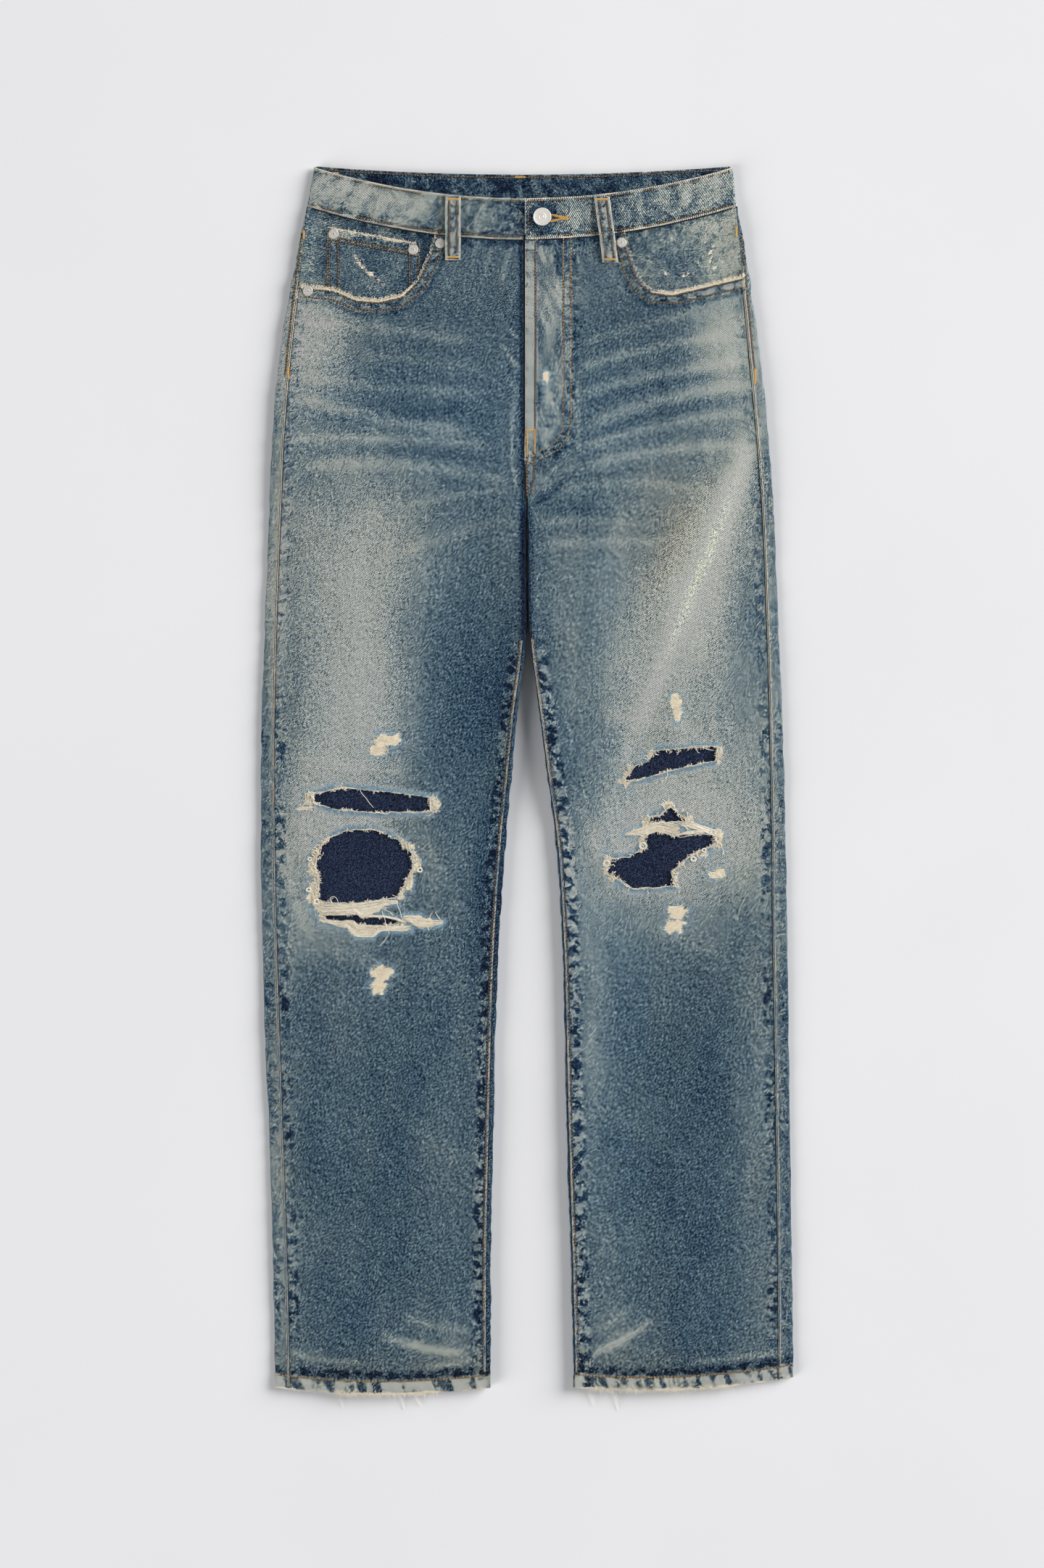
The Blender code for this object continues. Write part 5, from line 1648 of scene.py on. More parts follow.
def waistband():
    """One doubled strip: its right end runs under the left end at centre front."""
    outer, inner, place = (np.array(v) for v in zip(*[band_row(share) for share in BAND_SHARES]))
    along, share, edge, from_end, onto_front, x, leaning = np.moveaxis(place, -1, 0)
    level = BAND_SEAM + share * (BAND_TOP - BAND_SEAM)
    wear = 0.47 + 0.05 * fbm(along / 45, level / 30, 105)
    wear = wear + 0.08 * leaning * (0.4 + 0.6 * smoothstep(np.abs(x), 30, 80))
    wear = wear + (0.07 * smoothstep(np.abs(x - 10), 60, 150) + 0.10 * smoothstep(x, 100, 180)) * onto_front
    # paler rolled edges, and a darker line inside each that is painted shade in the groove by the stitching
    wear = wear + 0.20 * bell(edge, 2.2) - 0.10 * bell(edge - 3.4, 1.6)
    around_button = np.hypot(x - BUTTON_PLACE[0], 35 * (share - 0.5))
    wear = wear - (0.08 * band(x, -30, -6, 8) + 0.22 * band(around_button, 0, 13, 3)) * onto_front
    cream = (0.55 + 0.3 * noise(along / 12, level / 40, 107)) * bell(edge, 0.9)
    cream = np.maximum(cream, 0.5 * bell(from_end, 0.9))
    pucker = 0.25 + 0.5 * smoothstep(share, 0.26, 0.12) + 0.5 * band(x, -22, -5, 5) * onto_front
    clear = smoothstep(edge, 2.0, 4.0)
    hidden = 0.27 + 0.13 * np.clip(fbm(along / 10, (level + along * 0.4) / 5, 109), -1, 1)
    hidden = hidden + 0.10 * bell(edge, 2)
    fields = {"wear": (np.clip(wear, 0, 1), np.clip(hidden, 0, 1)), "cream": (cream, 0.6 * cream),
              "pucker": (pucker * clear, 0.35), "rope": (0.25 * clear, 0.5)}
    shell("waistband", outer, inner, np.stack([along, level], -1), fields, [DENIM_BAND])


def belt_loop(name, ends, under):
    """A doubled loop, tacked at both ends; under is for one that lies under the back."""
    x0, y0, x1, y1 = ends
    steps = np.concatenate([[0, 0.01, 0.025], np.linspace(0.05, 0.95, 31), [0.975, 0.99, 1]])[:, None]
    across = np.array([-1, -0.93, -0.8, -0.6, -0.3, 0, 0.3, 0.6, 0.8, 0.93, 1])[None, :]
    x = x0 + (x1 - x0) * steps + across * LOOP_WIDTH / 2
    y = np.broadcast_to(y0 + (y1 - y0) * steps, x.shape)
    length = math.hypot(x1 - x0, y1 - y0)
    along = steps * length
    side = (1 - np.abs(across)) * LOOP_WIDTH / 2
    end = np.minimum(along, length - along)
    rise = 0.30 * bell(side - 1.0, 0.9) - 0.45 * np.exp(-side / 0.35) + 0.12 * fbm(x / 4, along / 5, 111)
    rise = rise - 0.25 * bell(end - 2.2, 0.9) - 0.4 * np.exp(-end / 0.4)
    if under:
        near = LIFT - GAP + 0 * x
        far = np.maximum(near - LOOP_CLOTH - np.minimum(rise, 0.2), OFF_GROUND)
    else:
        bow = LOOP_BOW * np.sin(np.pi * steps) ** 0.7
        lap_rise = LAP_RISE * float(smoothstep(x0, 50 + LOOP_WIDTH, 32)) if x0 > 0 else 0.0
        near = top_height(x, y) + GAP + LOOP_LIFT + lap_rise + bow
        far = near + LOOP_CLOTH - 0.2 + rise
    wear = 0.52 + 0.08 * fbm(x / 5, along / 7, 113) + 0.18 * bell(side, 1.6)
    wear = wear - 0.12 * bell(side - 3.0, 1.0) + 0.08 * noise(along / 4, 0 * x, 115)
    cream = (0.55 + 0.3 * noise(along / 6, across, 117)) * bell(side, 0.6)
    cream = np.maximum(cream, 0.6 * bell(end, 0.7))
    fields = {"wear": np.clip(wear, 0, 1), "cream": cream, "pucker": 0.6 * smoothstep(side, 1.5, 3)}
    shell(name, np.dstack([x, y, far]), np.dstack([x, y, near]), np.dstack([x, y]), fields, [DENIM])
    if not under:
        loop_stitching(ends, steps[:, 0], far[:, 5])


def loop_stitching(ends, steps, heights):
    """Two rows of stitches along a loop and a bar tack across each end."""
    x0, y0, x1, y1 = ends

    def over(t):
        t = np.asarray(t)
        return np.stack([x0 + (x1 - x0) * t, y0 + (y1 - y0) * t, np.interp(t, steps, heights)], -1)

    for offset in (-3.4, 3.4):
        stitch_row(over(np.linspace(0.06, 0.94, 30)) + [offset, 0, 0.05], 2.6, 0.30, (0.05, 0.35))
    for t in (0.045, 0.955):
        bar_tack(over(t) + [-5.2, 0, 0.25], over(t) + [5.2, 0, 0.25], 1.7)


def back_pocket(side):
    """A patch pocket on the hidden back, with its two rows of stitches."""
    centre, top = OUTWARD[side] * BACK_POCKET["centre"], BACK_POCKET["top"]
    across = np.linspace(-1, 1, 40)[None, :]
    low = BACK_POCKET["point"] + (BACK_POCKET["side"] - BACK_POCKET["point"]) * np.abs(across)
    y = low + (top - low) * np.linspace(0, 1, 46)[:, None]
    x = np.broadcast_to(centre + 0.5 * BACK_POCKET["width"] * across, y.shape)
    near = under_height(y) - GAP - 0.1
    edge = np.minimum(np.minimum(top - y, y - low), 0.5 * BACK_POCKET["width"] * (1 - np.abs(across)))
    hollow = 0.25 * (1 + np.clip(fbm(x / 26, y / 22, 121), -1, 1)) * smoothstep(edge, 2, 14)
    outer = np.dstack([x, y, np.maximum(near - CLOTH + hollow, OFF_GROUND)])
    wear = 0.42 + 0.08 * fbm(x / 26, y / 30, 123) + 0.14 * bell(edge, 3)
    wear = wear + 0.12 * bell(edge, 8) * ripple(x + y, edge, 10, 125) - 0.10 * bell(edge - 4, 2)
    fields = {"wear": np.clip(wear, 0, 1), "cream": 0.6 * bell(edge, 1.0)}
    shell(f"back_pocket_{side}", outer, np.dstack([x, y, near]), np.dstack([x, y]), fields, [DENIM])
    for inset in (2.0, 8.0):
        half = 0.5 * BACK_POCKET["width"] - inset
        corner = BACK_POCKET["side"] + 0.6 * inset
        path = fine_path([(centre - half, top - 14), (centre - half, corner),
                          (centre, BACK_POCKET["point"] + 1.1 * inset), (centre + half, corner),
                          (centre + half, top - 14)], 1.5)
        z = under_height(path[:, 1]) - GAP - 0.1 - CLOTH
        stitch_row(np.column_stack([path, np.maximum(z, 0.15)]), 3.2, 0.24, (0.3, 0.7))


def turned(node, profile, segments, x, y, height, material, slot):
    """A round piece turned from (radius, height) points, standing square to the cloth."""
    slope_x = float(top_height(np.array(x + 2.0), y) - top_height(np.array(x - 2.0), y)) / 4
    slope_y = float(top_height(np.array(x), y + 2.0) - top_height(np.array(x), y - 2.0)) / 4
    up = Vector((-slope_x, -slope_y, 1)).normalized()
    turn = up.to_track_quat("Z", "Y").to_matrix()
    foot = Vector((x, y, float(top_height(np.array(x), y)))) + up * height
    points, quads = [], []
    for radius, level in profile:
        for angle in np.arange(segments) * 2 * math.pi / segments:
            spoke = Vector((radius * math.cos(angle), radius * math.sin(angle), level))
            points.append((foot + turn @ spoke) * MM)
    for low in range(0, (len(profile) - 1) * segments, segments):
        high = low + segments
        for k in range(segments):
            n = (k + 1) % segments
            quads.append((low + k, high + k, high + n, low + n))
    mesh = bpy.data.meshes.new(f"worn_{node}")
    mesh.from_pydata([tuple(p) for p in points], [], quads)
    stand_for(finish_piece(mesh, [material]), node)


def rounded(profile, steps=4):
    """A turned profile with its corners eased."""
    points = np.array(profile, float)
    result = [points[0]]
    for before, here, after in zip(points, points[1:], points[2:]):
        for t in np.linspace(0.15, 0.85, steps):
            start, end = here + (before - here) * 0.35, here + (after - here) * 0.35
            result.append((1 - t) ** 2 * start + 2 * t * (1 - t) * here + t * t * end)
    result.append(points[-1])
    return [tuple(p) for p in result]


def fasteners():
    """The shank button, with its rings, and the rivets: profiles of (radius, height)."""
    r = BUTTON_R
    button = ((0.01, 2.95), (1.5, 2.9), (1.9, 2.35), (2.2, 2.35), (2.6, 2.9), (3.0, 2.9), (3.4, 2.55),
              (7.0, 2.7), (7.5, 2.95), (r - 0.3, 2.9), (r, 2.4), (r - 0.3, 1.7), (r - 1.5, 1.3), (2.6, 1.0),
              (2.6, 0.0), (0.01, 0.0))
    turned("waist_button", rounded(button), 64, *BUTTON_PLACE, LAP_RISE + GAP + 0.6, BUTTON_METAL,
           "pale_metal")
    rivet = ((0.01, 0.0), (0.55, 0.05), (0.6, 0.95), (1.25, 1.0), (1.5, 0.75), (3.9, 0.8), (4.3, 0.65),
             (RIVET_R, 0.3), (RIVET_R - 0.2, -0.1), (0.01, -0.1))
    for name, (x, y, sink) in RIVETS.items():
        rise = float(front_relief(np.array(x), np.array(y), own=sink == 0)) + 0.1
        turned(name, rounded(rivet), 40, x, y, GAP + 0.1 - sink + rise, RIVET_METAL, "aged_brass")


# ---------------------------------------------------------------- threads

rng = np.random.default_rng(7)
STITCH_PLUMP = 1.35
STITCH_FILL = 0.93


def fine_path(points, step):
    """A plan line in short equal steps, with its corners eased."""
    points = np.array(points, float)
    length = path_lengths(points)[-1]
    path = on_path(points, np.linspace(0, length, max(3, int(length / step) + 1)))
    for _ in range(3):
        path[1:-1] = 0.25 * path[:-2] + 0.5 * path[1:-1] + 0.25 * path[2:]
    return path


def laid(path, lift=0.05):
    """A plan line laid on the dressed front."""
    return np.column_stack([path, surface(path[:, 0], path[:, 1]) + lift])


def beside(points, away):
    """A plan line moved sideways, to its left where away is more than 0."""
    path = fine_path(points, 1.0)
    along = np.gradient(path, axis=0)
    along /= np.linalg.norm(along, axis=1, keepdims=True)
    return path + away * np.column_stack([-along[:, 1], along[:, 0]])


def path_lengths(path):
    """Length along a line at each of its points."""
    return np.concatenate([[0], np.cumsum(np.linalg.norm(np.diff(path, axis=0), axis=1))])


def on_path(path, place):
    """Points at lengths along a line of points."""
    away = path_lengths(path)
    return np.stack([np.interp(place, away, path[:, k]) for k in range(path.shape[1])], -1)


def stitch_row(path, pitch, radius, tint):
    """Stitches along a line of points, each sinking in at its ends, over a near-black tube of painted shade
    in their groove.
    """
    length = path_lengths(path)[-1]
    count = max(1, int(length / pitch))
    line = on_path(path, np.linspace(0, length, max(8, int(length / 2.2))))
    # painted shade: a dark tube just under the stitches
    shade_tubes.add((line - [0, 0, 0.40])[None], 0.95, 0.5, 0.9)
    radius *= STITCH_PLUMP
    start = np.arange(count) * pitch + rng.uniform(-0.08, 0.08, count) * pitch
    points = on_path(path, start[:, None] + np.linspace(0, pitch * STITCH_FILL, 4)[None, :])
    points[..., 2] += radius * np.array([-0.9, 0.5, 0.5, -0.9])[None, :]
    points[..., :2] += rng.normal(0, 0.07, (count, 1, 2))
    stitches.add(points, radius * rng.uniform(0.9, 1.1, count), rng.uniform(*tint, count), 0.55)


def bar_tack(start, end, width):
    """A dense zigzag bar between two points."""
    start, end = np.array(start, float), np.array(end, float)
    length = np.linalg.norm(end - start)
    count = max(6, int(length / 0.42))
    middle = start + (end - start) * np.linspace(0, 1, count)[:, None]
    side = np.array([-(end - start)[1], (end - start)[0], 0]) / length * width / 2
    ends = np.linspace(-1, 1, 5)
    points = middle[:, None, :] + ends[None, :, None] * side[None, None, :]
    points[..., 2] += 0.35 * (1 - ends[None, :] ** 2)
    points[:, :, :2] += (end - start)[None, None, :2] / length * ends[None, :, None] * 0.25
    stitches.add(points, np.full(count, 0.26), rng.uniform(0.65, 1.0, count), 0.7)


def seam_line(side, seam, low, high, offset=0.0):
    """Plan line of the outer or inner seam between two levels, moved outward by offset."""
    levels = np.linspace(low, high, 400)
    x = np.interp(levels, SEAM_LEVELS, seam_table(side)[seam])
    return np.column_stack([x + OUTWARD[side] * offset, front_level(x, levels)])


HEM_STITCHES = {"r": (at(HEM, "r_edge") + 3, at(HEM, "r_inner") - 2),
                "l": (at(HEM, "l_inner") + 2, at(HEM, "l_edge") - 2)}
# ---- stitched lines of the fly's edge and the crotch: radius of the thread, tint and points
FLY_ROWS = ((0.26, (0.1, 0.5), ((6.8, 492), (7.0, 400), (6.6, 320), (6.2, 288))),
            (0.25, (0.3, 0.7), ((-0.4, 300), (-0.9, 270), (-0.6, 256))),
            (0.25, (0.2, 0.5), ((6.4, 290), (5.0, 272), (2.0, 258))))
# ---- bar tacks of the fly and of the side seams: both ends, width and lift
TACKS = (((-1.0, 316.5), (6.6, 317), 1.7, 0.35), ((-0.6, 316), (-0.6, 294), 1.0, 0.35),
         ((6.3, 316), (6.3, 296), 1.0, 0.35), ((-203.5, 498.5), (-203.5, 491.5), 1.8, 0.3),
         ((-217.5, 375.5), (-217.5, 364.5), 1.8, 0.3), ((189.5, 502), (189.5, 494), 1.8, 0.3),
         ((206.5, 372.5), (206.5, 359.5), 1.8, 0.3))


def topstitching():
    """Every row of stitches and bar tack on the front, the waistband and the coin pocket, and near-black
    tubes of painted shadow along the fly's edge and under the waistband.
    """
    for side, out in OUTWARD.items():
        for inset, tint in ((2.6, (0.0, 0.4)), (9.4, (0.2, 0.7))):
            stitch_row(laid(beside(POCKET_MOUTHS[side], inset * out)), 2.9, 0.27, tint)
        x = np.linspace(*HEM_STITCHES[side], 160)
        stitch_row(laid(np.column_stack([x, hem_line(x) + 11.6])), 3.1, 0.30, (0.45, 0.95))
        stitch_row(laid(seam_line(side, "outer", 366, 497, 2.4), 0.1), 2.8, 0.25, (0.3, 0.7))
    for away, tint in ((0.0, (0.35, 0.85)), (-6.6, (0.3, 0.8))):
        stitch_row(laid(beside(FLY_CURVE, away)), 2.9, 0.27, tint)
    for radius, tint, points in FLY_ROWS:
        stitch_row(laid(fine_path(points, 1.0)), 2.9, radius, tint)
    for start, end, width, lift in TACKS:
        bar_tack(*laid(np.array([start, end]), lift), width)
    band_stitching()
    coin_stitching()
    # painted shadow: a near-black tube beside the fly's raised edge and one under the waistband's lower edge
    edge = laid(fine_path([(-3.3, 494), (-3.1, 400), (-3.3, 300), (-2.2, 252)], 3.0), -0.25)
    shade_tubes.add(edge[None], 1.1, 0.0, 0.9)
    x = np.linspace(-196, 186, 150)
    under_band = laid(np.column_stack([x, front_seam(x) - 0.9]), -0.2)
    shade_tubes.add(under_band[None], 0.55, 0.0, 0.9)


def over_band(x, y, lift):
    """Points over the front of the waistband, its left end lying on its right end."""
    x, y = np.broadcast_arrays(x, y)
    lap = np.where(x > -2.6, lap_height(x), -lap_depth(x))
    return np.stack([x, y, top_height(x, y) + lap + lift], -1)


def band_stitching():
    """Rows along both edges of the waistband, its end, its buttonhole and its tacks."""
    for share, low, high in ((0.075, -198, -5), (0.93, -192, -5), (0.075, 0.5, 187), (0.93, 0.5, 183)):
        x = np.linspace(low, high, 260)
        y = front_seam(x) + share * (front_top(x) - front_seam(x))
        stitch_row(over_band(x, y, 0.15), 2.8, 0.26, (0.25, 0.75))
    stitch_row(over_band(0.6, np.linspace(495, 523, 30), 0.15), 2.8, 0.26, (0.2, 0.6))
    x = np.linspace(20.5, 35.5, 60)
    legs = np.linspace(-1, 1, 4)[None, :, None]
    for out in OUTWARD.values():
        loops = over_band(x, 509.3 + out * (0.6 + 2.2 * smoothstep(x, 33, 20)), 0.5)
        points = loops[:, None, :] + legs * [0.15, out, 0] + (1 - legs ** 2) * [0, 0, 0.25]
        stitches.add(points, np.full(60, 0.24), rng.uniform(0.6, 1.0, 60), 0.7)
    z = over_band(36.0, 509.6, 0.6)[2]
    bar_tack((35.6, 511.8, z), (35.9, 507.2, z), 2.0)
    z = float(under_height(550.0)) + BAND_CLOTH
    for x, y in ((-7, 547.6), (-177, 551.0)):
        bar_tack((x - 4.5, y, z + 0.5), (x + 4.5, y, z + 0.5), 1.6)
    x = np.linspace(-185, 178, 420)
    stitch_row(np.column_stack([x, back_top(x) - 2.6, 0 * x + z + 0.1]), 2.8, 0.24, (0.1, 0.5))


def coin_stitching():
    """Two rows down each side of the coin pocket, and two along its top."""
    outer, inner = COIN_POCKET["outer"], COIN_POCKET["inner"]
    for inset in (1.6, 9.6):
        for x in (outer + inset, inner - inset):
            y = np.linspace(436, coin_top(x) - 1, 60)
            x = np.full(60, x)
            stitch_row(np.column_stack([x, y, coin_height(x, y) + 0.35]), 2.8, 0.25, (0.1, 0.5))
    x = np.linspace(outer + 2, inner - 2, 80)
    for drop in (8.5, 11.5):
        y = coin_top(x) - drop
        stitch_row(np.column_stack([x, y, coin_height(x, y) + 0.4]), 2.8, 0.25, (0.1, 0.5))


def hairs(spots, direction, length, radius, tint, curl, height, rings=5, kind=frays, drop=0.0):
    """Short ends of yarn that start at places in plan and wander off in a direction."""
    count = len(spots)
    angle = np.arctan2(direction[:, 1], direction[:, 0]) + rng.normal(0, 0.5, count)
    bend = rng.normal(0, curl, count)
    steps = np.linspace(0, 1, rings)[None, :]
    turned_to = angle[:, None] + bend[:, None] * steps
    step = (np.asarray(length) / (rings - 1)).reshape(-1, 1)
    plan = []
    for start, way in zip(spots.T, (np.cos(turned_to), np.sin(turned_to))):
        plan.append(start[:, None] + np.cumsum(way * step, axis=1) - way[:, :1] * step)
    base = surface(spots[:, 0], spots[:, 1])[:, None]
    lift = rng.uniform(0.0, 1.0, count)[:, None] * height * np.sin(np.pi * steps * 0.8) - drop * steps ** 2
    points = np.stack([*plan, base + 0.1 + lift], -1)
    kind.add(points, np.asarray(radius) * rng.uniform(0.7, 1.2, count), tint, 0.5)


def torn_rims():
    """Cut warp ends, fuzzy and pale blue, above and below each hole; cream yarns lying along its
    edge; and curled cream weft where it was cut at the sides."""
    for outline in TORN_HOLES.values():
        ring = anticlockwise(jagged(outline, 73, RING_STEP, 0.5))
        along = np.roll(ring, -2, axis=0) - np.roll(ring, 2, axis=0)
        along /= np.maximum(np.linalg.norm(along, axis=1, keepdims=True), 1e-9)
        inward = np.column_stack([-along[:, 1], along[:, 0]])
        sideways = np.abs(inward[:, 0])
        count = len(ring)
        start = ring - inward * rng.uniform(0.4, 4.0, count)[:, None]
        way = inward * np.where(rng.random(count) < 0.55, 1.0, -1.0)[:, None] + rng.normal(0, 0.5, (count, 2))
        hairs(start, way, rng.uniform(1.2, 3.0, count), 0.16, rng.uniform(0.05, 0.40, count), 1.4, 0.9, 4,
              rims)
        place = np.arange(count) * RING_STEP
        toothed = np.where(noise(place / 5, 0, 127) + 0.4 * rng.random(count) > 0.5)[0]
        start = ring[toothed] - inward[toothed] * 0.8
        hairs(start, inward[toothed], rng.uniform(1.4, 3.6, len(toothed)), 0.26,
              rng.uniform(0.5, 1.0, len(toothed)), 1.5, 0.5, 5, rims, 0.5)
        sides = np.where((sideways > 0.6) & (rng.random(count) < 0.5))[0]
        if len(sides):
            start = ring[sides] - inward[sides] * rng.uniform(0.0, 3.0, len(sides))[:, None]
            lean = -inward[sides] + rng.normal(0, 0.9, (len(sides), 2))
            hairs(start, lean, rng.uniform(2.2, 5.5, len(sides)), 0.30,
                  rng.uniform(0.55, 1.0, len(sides)), 2.0, 1.2, 8, rims)
        for _ in range(count // 75):
            first = int(rng.integers(count))
            steps = (first + np.arange(rng.integers(25, 80))) % count
            off = rng.uniform(-0.3, 1.2) + 0.5 * noise(np.arange(len(steps)) / 14, first, 129)
            lying = ring[steps] - inward[steps] * off[:, None]
            lying = fine_path(lying, 1.2)
            points = laid(lying, 0.5)
            at_place = np.linspace(0, len(points) - 1, 26)
            points = np.column_stack([np.interp(at_place, np.arange(len(points)), v) for v in points.T])
            rims.add(points[None], 0.28, float(rng.uniform(0.6, 1.0)), 0.6)


def spots_in(across, up, cx, cy, rx, ry):
    """The places, given from -1 to 1 each way, that fall in an oval."""
    spots = np.column_stack([across, up])
    return spots[np.hypot(across, up) < 1] * [rx, ry] + [cx, cy]


def tufts():
    """Cream weft curling up where it was cut, and yarns wound into rings."""
    for row in TUFTS.values():
        count = int(row[2] * row[3] * 1.5)
        spots = spots_in(*rng.uniform(-1, 1, (count, 2)).T, *row)
        way = rng.normal(0, 1, (len(spots), 2)) * [1.6, 1.0]
        length = rng.uniform(2.0, 4.8, len(spots))
        hairs(spots, way, length, 0.30, rng.uniform(0.55, 1.0, len(spots)), 1.9, 1.0, 7)
    angle = np.linspace(0, 2 * math.pi * 1.15, 22)
    for x, y, radius in CURLS:
        height = surface(np.array(x), np.array(y)) + 0.8 + 0.5 * np.sin(angle * 0.5)
        for size in (radius, 0.72 * radius):
            path = np.column_stack([x + size * np.cos(angle), y + 0.85 * size * np.sin(angle), height])
            frays.add(path[None], 0.36, 0.95, 0.7)


def weft_threads():
    """Bare weft that still bridges the knees, thread beside thread."""
    for upper, lower in BARE_WEFT.values():
        low_x, high_x = upper[0][0], upper[-1][0]
        tall = max(a[1] for a in upper) - min(b[1] for b in lower)
        count = int(tall * 3.4) + 5
        slack = 0.45 * (high_x - low_x)
        start = low_x + rng.uniform(-2.5, slack, count) * (rng.random(count) < 0.7)
        end = high_x + 2.0 - rng.uniform(0, slack, count) * (rng.random(count) < 0.7)
        x = start[:, None] + np.maximum(end - start, 8)[:, None] * np.linspace(0, 1, 20)[None, :]
        under = np.interp(x, *zip(*lower))
        y = under + (np.interp(x, *zip(*upper)) - under) * np.linspace(0.02, 0.98, count)[:, None]
        row = np.arange(count)[:, None]
        y = y + 0.7 * noise(x / 9, row * 0.31, 131) + 0.4 * noise(x / 3, row * 0.9, 133)
        z = surface(x, y) + 0.3 + 0.5 * (noise(x / 7, row * 1.7, 135) + 0.6)
        frays.add(np.stack([x, y, z], -1), rng.uniform(0.24, 0.38, count), rng.uniform(0.5, 1.0, count), 0.5)


# ---- single yarns that lie across the holes and hang from the hems: plan points of each
LOOSE_THREADS = (((-151.7, -8), (-152.2, -10), (-147, -17), (-140, -25.5)),
                 ((-194, -24), (-202, -26), (-209.5, -27.5)), ((-193, -25.5), (-201, -25), (-208, -25.5)),
                 ((-179.5, -111.3), (-179.3, -107.5), (-176.7, -105.5), (-173.4, -107.5), (-172, -112.3)),
                 ((-178.5, -113), (-179, -108.5), (-176, -107)),
                 ((-119.7, -110.4), (-116.4, -118.9), (-114, -128.3)),
                 ((-131.4, -117), (-132.9, -118.9), (-129.6, -126.4), (-128.6, -133), (-125.3, -140.6)),
                 ((-130.5, -118), (-124.8, -120.3), (-122, -123.6)),
                 ((-133, -117), (-128, -116), (-131, -119)),
                 ((-127, -142), (-131, -147), (-134.5, -151.5)), ((-87, -121), (-89, -125), (-91, -129)),
                 ((-84, -120), (-81, -125), (-79, -128)), ((-90, -128), (-90.5, -133), (-90, -137)),
                 ((-172, -559), (-170, -565), (-168, -571)), ((-116, -560), (-113, -568), (-112, -573)),
                 ((-104, -559), (-99, -566), (-97, -570)), ((56, -554), (58, -562), (60, -569)),
                 ((76, -554), (80, -563), (82, -574)), ((178, -545), (179, -553), (176, -560)),
                 ((126.4, 7.9), (127.6, 4.2), (125, 1), (121.6, -2)),
                 ((160, 29), (162, 27.5), (169, 26.5)), ((152, 28), (154, 25), (156, 24)),
                 ((131, -40), (134, -38.5), (138, -40), (145, -44), (149, -48)),
                 ((141, -40), (144, -44), (146, -48)),
                 ((134, -50.5), (137, -52.5), (142, -52), (152, -50), (164, -47)),
                 ((100, -100), (106, -97.5), (112, -98.5), (128, -97)),
                 ((108, -100), (110, -103), (108, -106)),
                 ((176, -62), (178, -65), (177, -69)))


def loose_threads():
    """The single yarns, each a little wavy."""
    for k, points in enumerate(LOOSE_THREADS):
        path = fine_path(points, 0.8)
        place = np.linspace(0, 1, 16)
        at_path = np.linspace(0, 1, len(path))
        x, y = [np.interp(place, at_path, path[:, j]) for j in range(2)]
        x = x + 0.4 * noise(place * 4, k, 137)
        on_cloth = surface(x, y) + 0.5 + 0.6 * np.sin(np.pi * place)
        z = np.where(y < -548, np.interp(y, (-575, -548), (0.6, 5.0)), on_cloth)
        frays.add(np.stack([x, y, z], -1)[None], 0.26, 0.9, 0.6)


def rubbed_spots():
    """Weft ends standing up from the places that are rubbed bare."""
    for row in RUBBED.values():
        count = int(row[2] * row[3] * 1.6)
        spots = spots_in(rng.uniform(-1, 1, count), rng.uniform(-1, 1, count), *row)
        way = np.column_stack([np.where(rng.random(len(spots)) < 0.5, 1.0, -1.0), np.zeros(len(spots))])
        length = rng.uniform(2.0, 5.0, len(spots))
        hairs(spots, way, length, 0.20, rng.uniform(0.55, 0.95, len(spots)), 0.6, 0.5, 5)


# ---- how frayed the hems are: both ends of each stretch and how dense its threads are
HEM_FRAYS = ((-222, -176, 0.5), (-176, -84, 1.5), (-84, -40, 0.5),
             (48, 56, 0.5), (56, 186, 1.4), (186, 236, 0.4))
MOUTH_FRAYS = {"r": 112, "l": 118}


def frayed_edges():
    """Broken edges of the hems, the pocket mouths and the coin pocket."""
    for low, high, dense in HEM_FRAYS:
        x = rng.uniform(low, high, int((high - low) * 2.6 * dense))
        x = x[noise(x / 13, 0, 141) + dense * 0.6 > 0]
        y = hem_line(x) + rng.uniform(-0.2, 2.2, len(x))
        way = np.column_stack([rng.normal(0, 1.2, len(x)), -np.ones(len(x))])
        length = rng.uniform(1.4, 4.2, len(x)) * (0.7 + 0.5 * dense)
        hairs(np.column_stack([x, y]), way, length, 0.20, rng.uniform(0.5, 1.0, len(x)), 2.6, 0.5, 8, frays,
              1.6)
    for side, out in OUTWARD.items():
        mouth = fine_path(POCKET_MOUTHS[side], 0.5)
        chance = np.where(mouth[:, 0] * out > MOUTH_FRAYS[side], 0.9, 0.3)
        for _ in range(2):
            use = mouth[rng.random(len(mouth)) < chance] + rng.normal(0, 0.5, (1, 2))
            way = np.column_stack([rng.normal(0, 1, len(use)), rng.uniform(0.2, 1, len(use))])
            length = rng.uniform(1.4, 3.6, len(use)) * np.where(use[:, 0] * out > MOUTH_FRAYS[side], 1.0, 0.5)
            hairs(use, way, length, 0.22, rng.uniform(0.55, 1.0, len(use)), 3.0, 0.6, 7)
    x = rng.uniform(COIN_POCKET["outer"] + 3, COIN_POCKET["inner"] - 3, 220)
    y = coin_top(x) - rng.uniform(0, 2.6, len(x))
    way = np.column_stack([rng.normal(0, 1, len(x)), rng.uniform(-0.3, 1, len(x))])
    length = rng.uniform(1.0, 3.0, len(x))
    hairs(np.column_stack([x, y]), way, length, 0.20, rng.uniform(0.5, 1.0, len(x)), 3.0, 0.5, 7,
          Sunk(UNDER_FRONT - 0.4))


class Sunk:
    """Hands tubes on to the frays, lowered to a piece that lies behind the front."""

    def __init__(self, depth):
        self.depth = depth

    def add(self, paths, radius, tint, taper):
        frays.add(paths - np.array([0, 0, self.depth]), radius, tint, taper)


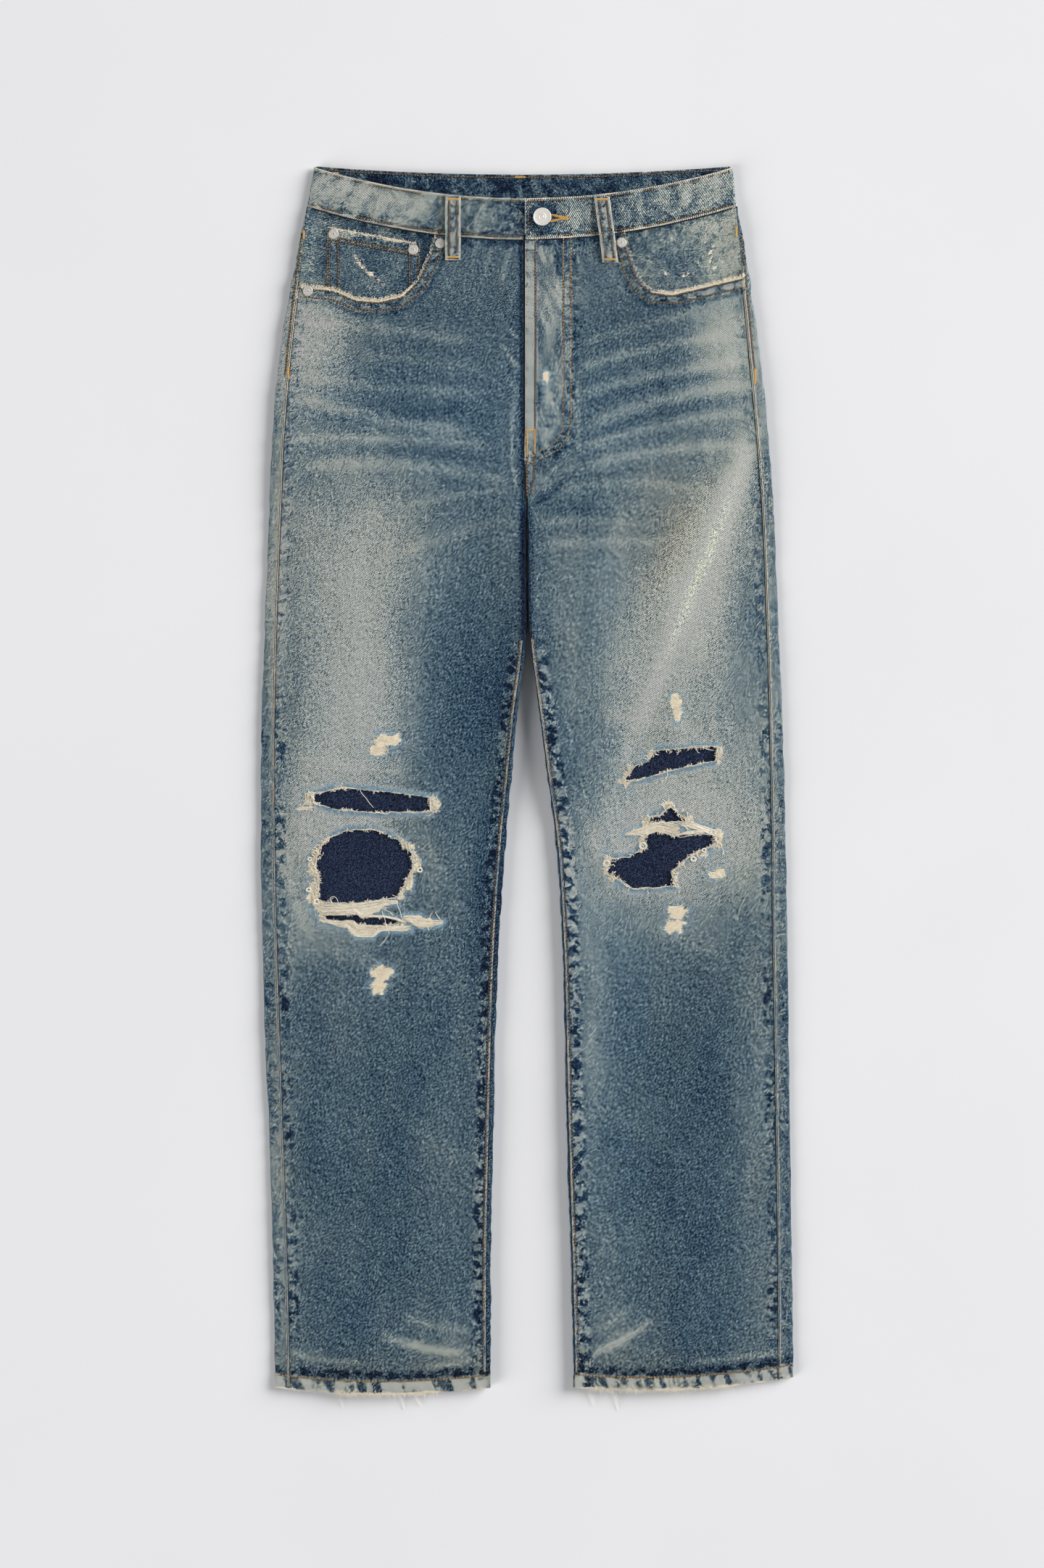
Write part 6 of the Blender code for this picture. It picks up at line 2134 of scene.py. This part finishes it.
def seam_ridges():
    """Two strands of worn cotton standing along each side seam and inseam, with near-black tubes of painted
    shade between and beside them.
    """
    for side, inner, top in (("r", 3.3, 446), ("l", 0.9, 455)):
        for place in (-0.52, 0.52):
            seam_strand(seam_line(side, "outer", -550, top, place), place, 0.24)
        for place in (0, 0.85):
            seam_strand(seam_line(side, "inner", -538, 128, inner + place), 2, 0.0)
        # painted shade: dark tubes in the grooves between and beside the strands
        for path in (seam_line(side, "outer", -550, 450), seam_line(side, "outer", -550, 450, -1.6),
                     seam_line(side, "inner", -538, 146, inner + 0.5),
                     seam_line(side, "inner", -538, 146, inner - 0.8)):
            shade_tubes.add(laid(path[::2], 0.0)[None], 0.38, 0.4, 0.9)
        stitch_row(laid(seam_line(side, "inner", -536, 130, inner + 2.2), 0.0), 3.0, 0.15, (0.2, 0.6))


def seam_strand(path, lane, paler):
    """One strand of slanting cotton yarns, which gets paler above the knee. lane sets its noise."""
    path = laid(path, 0.12)
    path = path + 0.12 * np.column_stack([noise(path[:, 1] / 2.5, lane, 143), 0 * path[:, 1],
                                          noise(path[:, 1] / 3.1, lane, 145)])
    start = np.arange(0, path_lengths(path)[-1] - 3, 3.1)
    start = start + rng.uniform(-0.3, 0.3, len(start))
    points = on_path(path, start[:, None] + np.linspace(0, 3.5, 4)[None, :])
    points[..., 0] += np.linspace(-0.32, 0.32, 4)[None, :]
    points[..., 2] += np.array([-0.25, 0.1, 0.1, -0.25])[None, :]
    level = points[:, 0, 1]
    bright = 0.40 + paler * smoothstep(level, -100, 150) + 0.16 * noise(level / 14, lane, 147)
    radius = rng.uniform(0.19, 0.28, len(start))
    cords.add(points, radius, bright + rng.uniform(-0.12, 0.12, len(start)), 0.85)


# ---------------------------------------------------------------- stage, camera, lamps, in metres

CAMERA_HEIGHT = 4.0
VIEW_TALL = 1.427
LAMP_SIZE = 9.0


def link(name, data, place=(0, 0, 0)):
    """An object of the stage, put into the scene."""
    obj = bpy.data.objects.new(name, data)
    obj.location = place
    bpy.context.scene.collection.objects.link(obj)
    return obj


def stage():
    """The pale ground, the camera straight above, two soft lamps and a faint sky."""
    mesh = bpy.data.meshes.new("ground")
    mesh.from_pydata([(-14, -14, 0), (14, -14, 0), (14, 14, 0), (-14, 14, 0)], [], [(0, 1, 2, 3)])
    mesh.materials.append(floor_material())
    link("ground", mesh)

    lens = bpy.data.cameras.new("overhead")
    lens.sensor_fit = "VERTICAL"
    lens.sensor_height = 36.0
    lens.lens = lens.sensor_height * CAMERA_HEIGHT / VIEW_TALL
    lens.clip_end = 50
    bpy.context.scene.camera = link("overhead", lens, (-0.0053, -0.004, CAMERA_HEIGHT))

    for name, energy, place in (("key", 2010, (9.7, 4.6, 5.4)), ("fill", 1080, (-9.4, -5.0, 5.0))):
        light = bpy.data.lights.new(name, "AREA")
        light.shape = "DISK"
        light.size = LAMP_SIZE
        light.energy = energy
        lamp = link(name, light, place)
        lamp.rotation_euler = (-lamp.location).to_track_quat("-Z", "Y").to_euler()
        lamp.visible_camera = False

    world = bpy.data.worlds.new("studio")
    bpy.context.scene.world = world
    world.use_nodes = True
    sky = world.node_tree.nodes["Background"]
    sky.inputs["Color"].default_value = (1.0, 1.0, 1.0, 1.0)
    sky.inputs["Strength"].default_value = 0.15
    bpy.context.scene.view_settings.view_transform = "Standard"


def dress():
    """The garment: its cloth, its fasteners, then its threads."""
    for side in OUTWARD:
        front_panel(side)
        back_panel(side)
        yoke(side)
        pocket_facing(side)
        knee_patch(side)
        back_pocket(side)
    coin_pocket()
    fly_shield()
    waistband()
    for name, ends in FRONT_LOOPS.items():
        belt_loop(name, ends, under=False)
    for name, ends in BACK_LOOPS.items():
        belt_loop(name, ends, under=True)
    fasteners()
    topstitching()
    seam_ridges()
    torn_rims()
    tufts()
    weft_threads()
    loose_threads()
    rubbed_spots()
    frayed_edges()
    for kind in (stitches, cords, frays, rims, shade_tubes):
        kind.build()


stage()
dress()
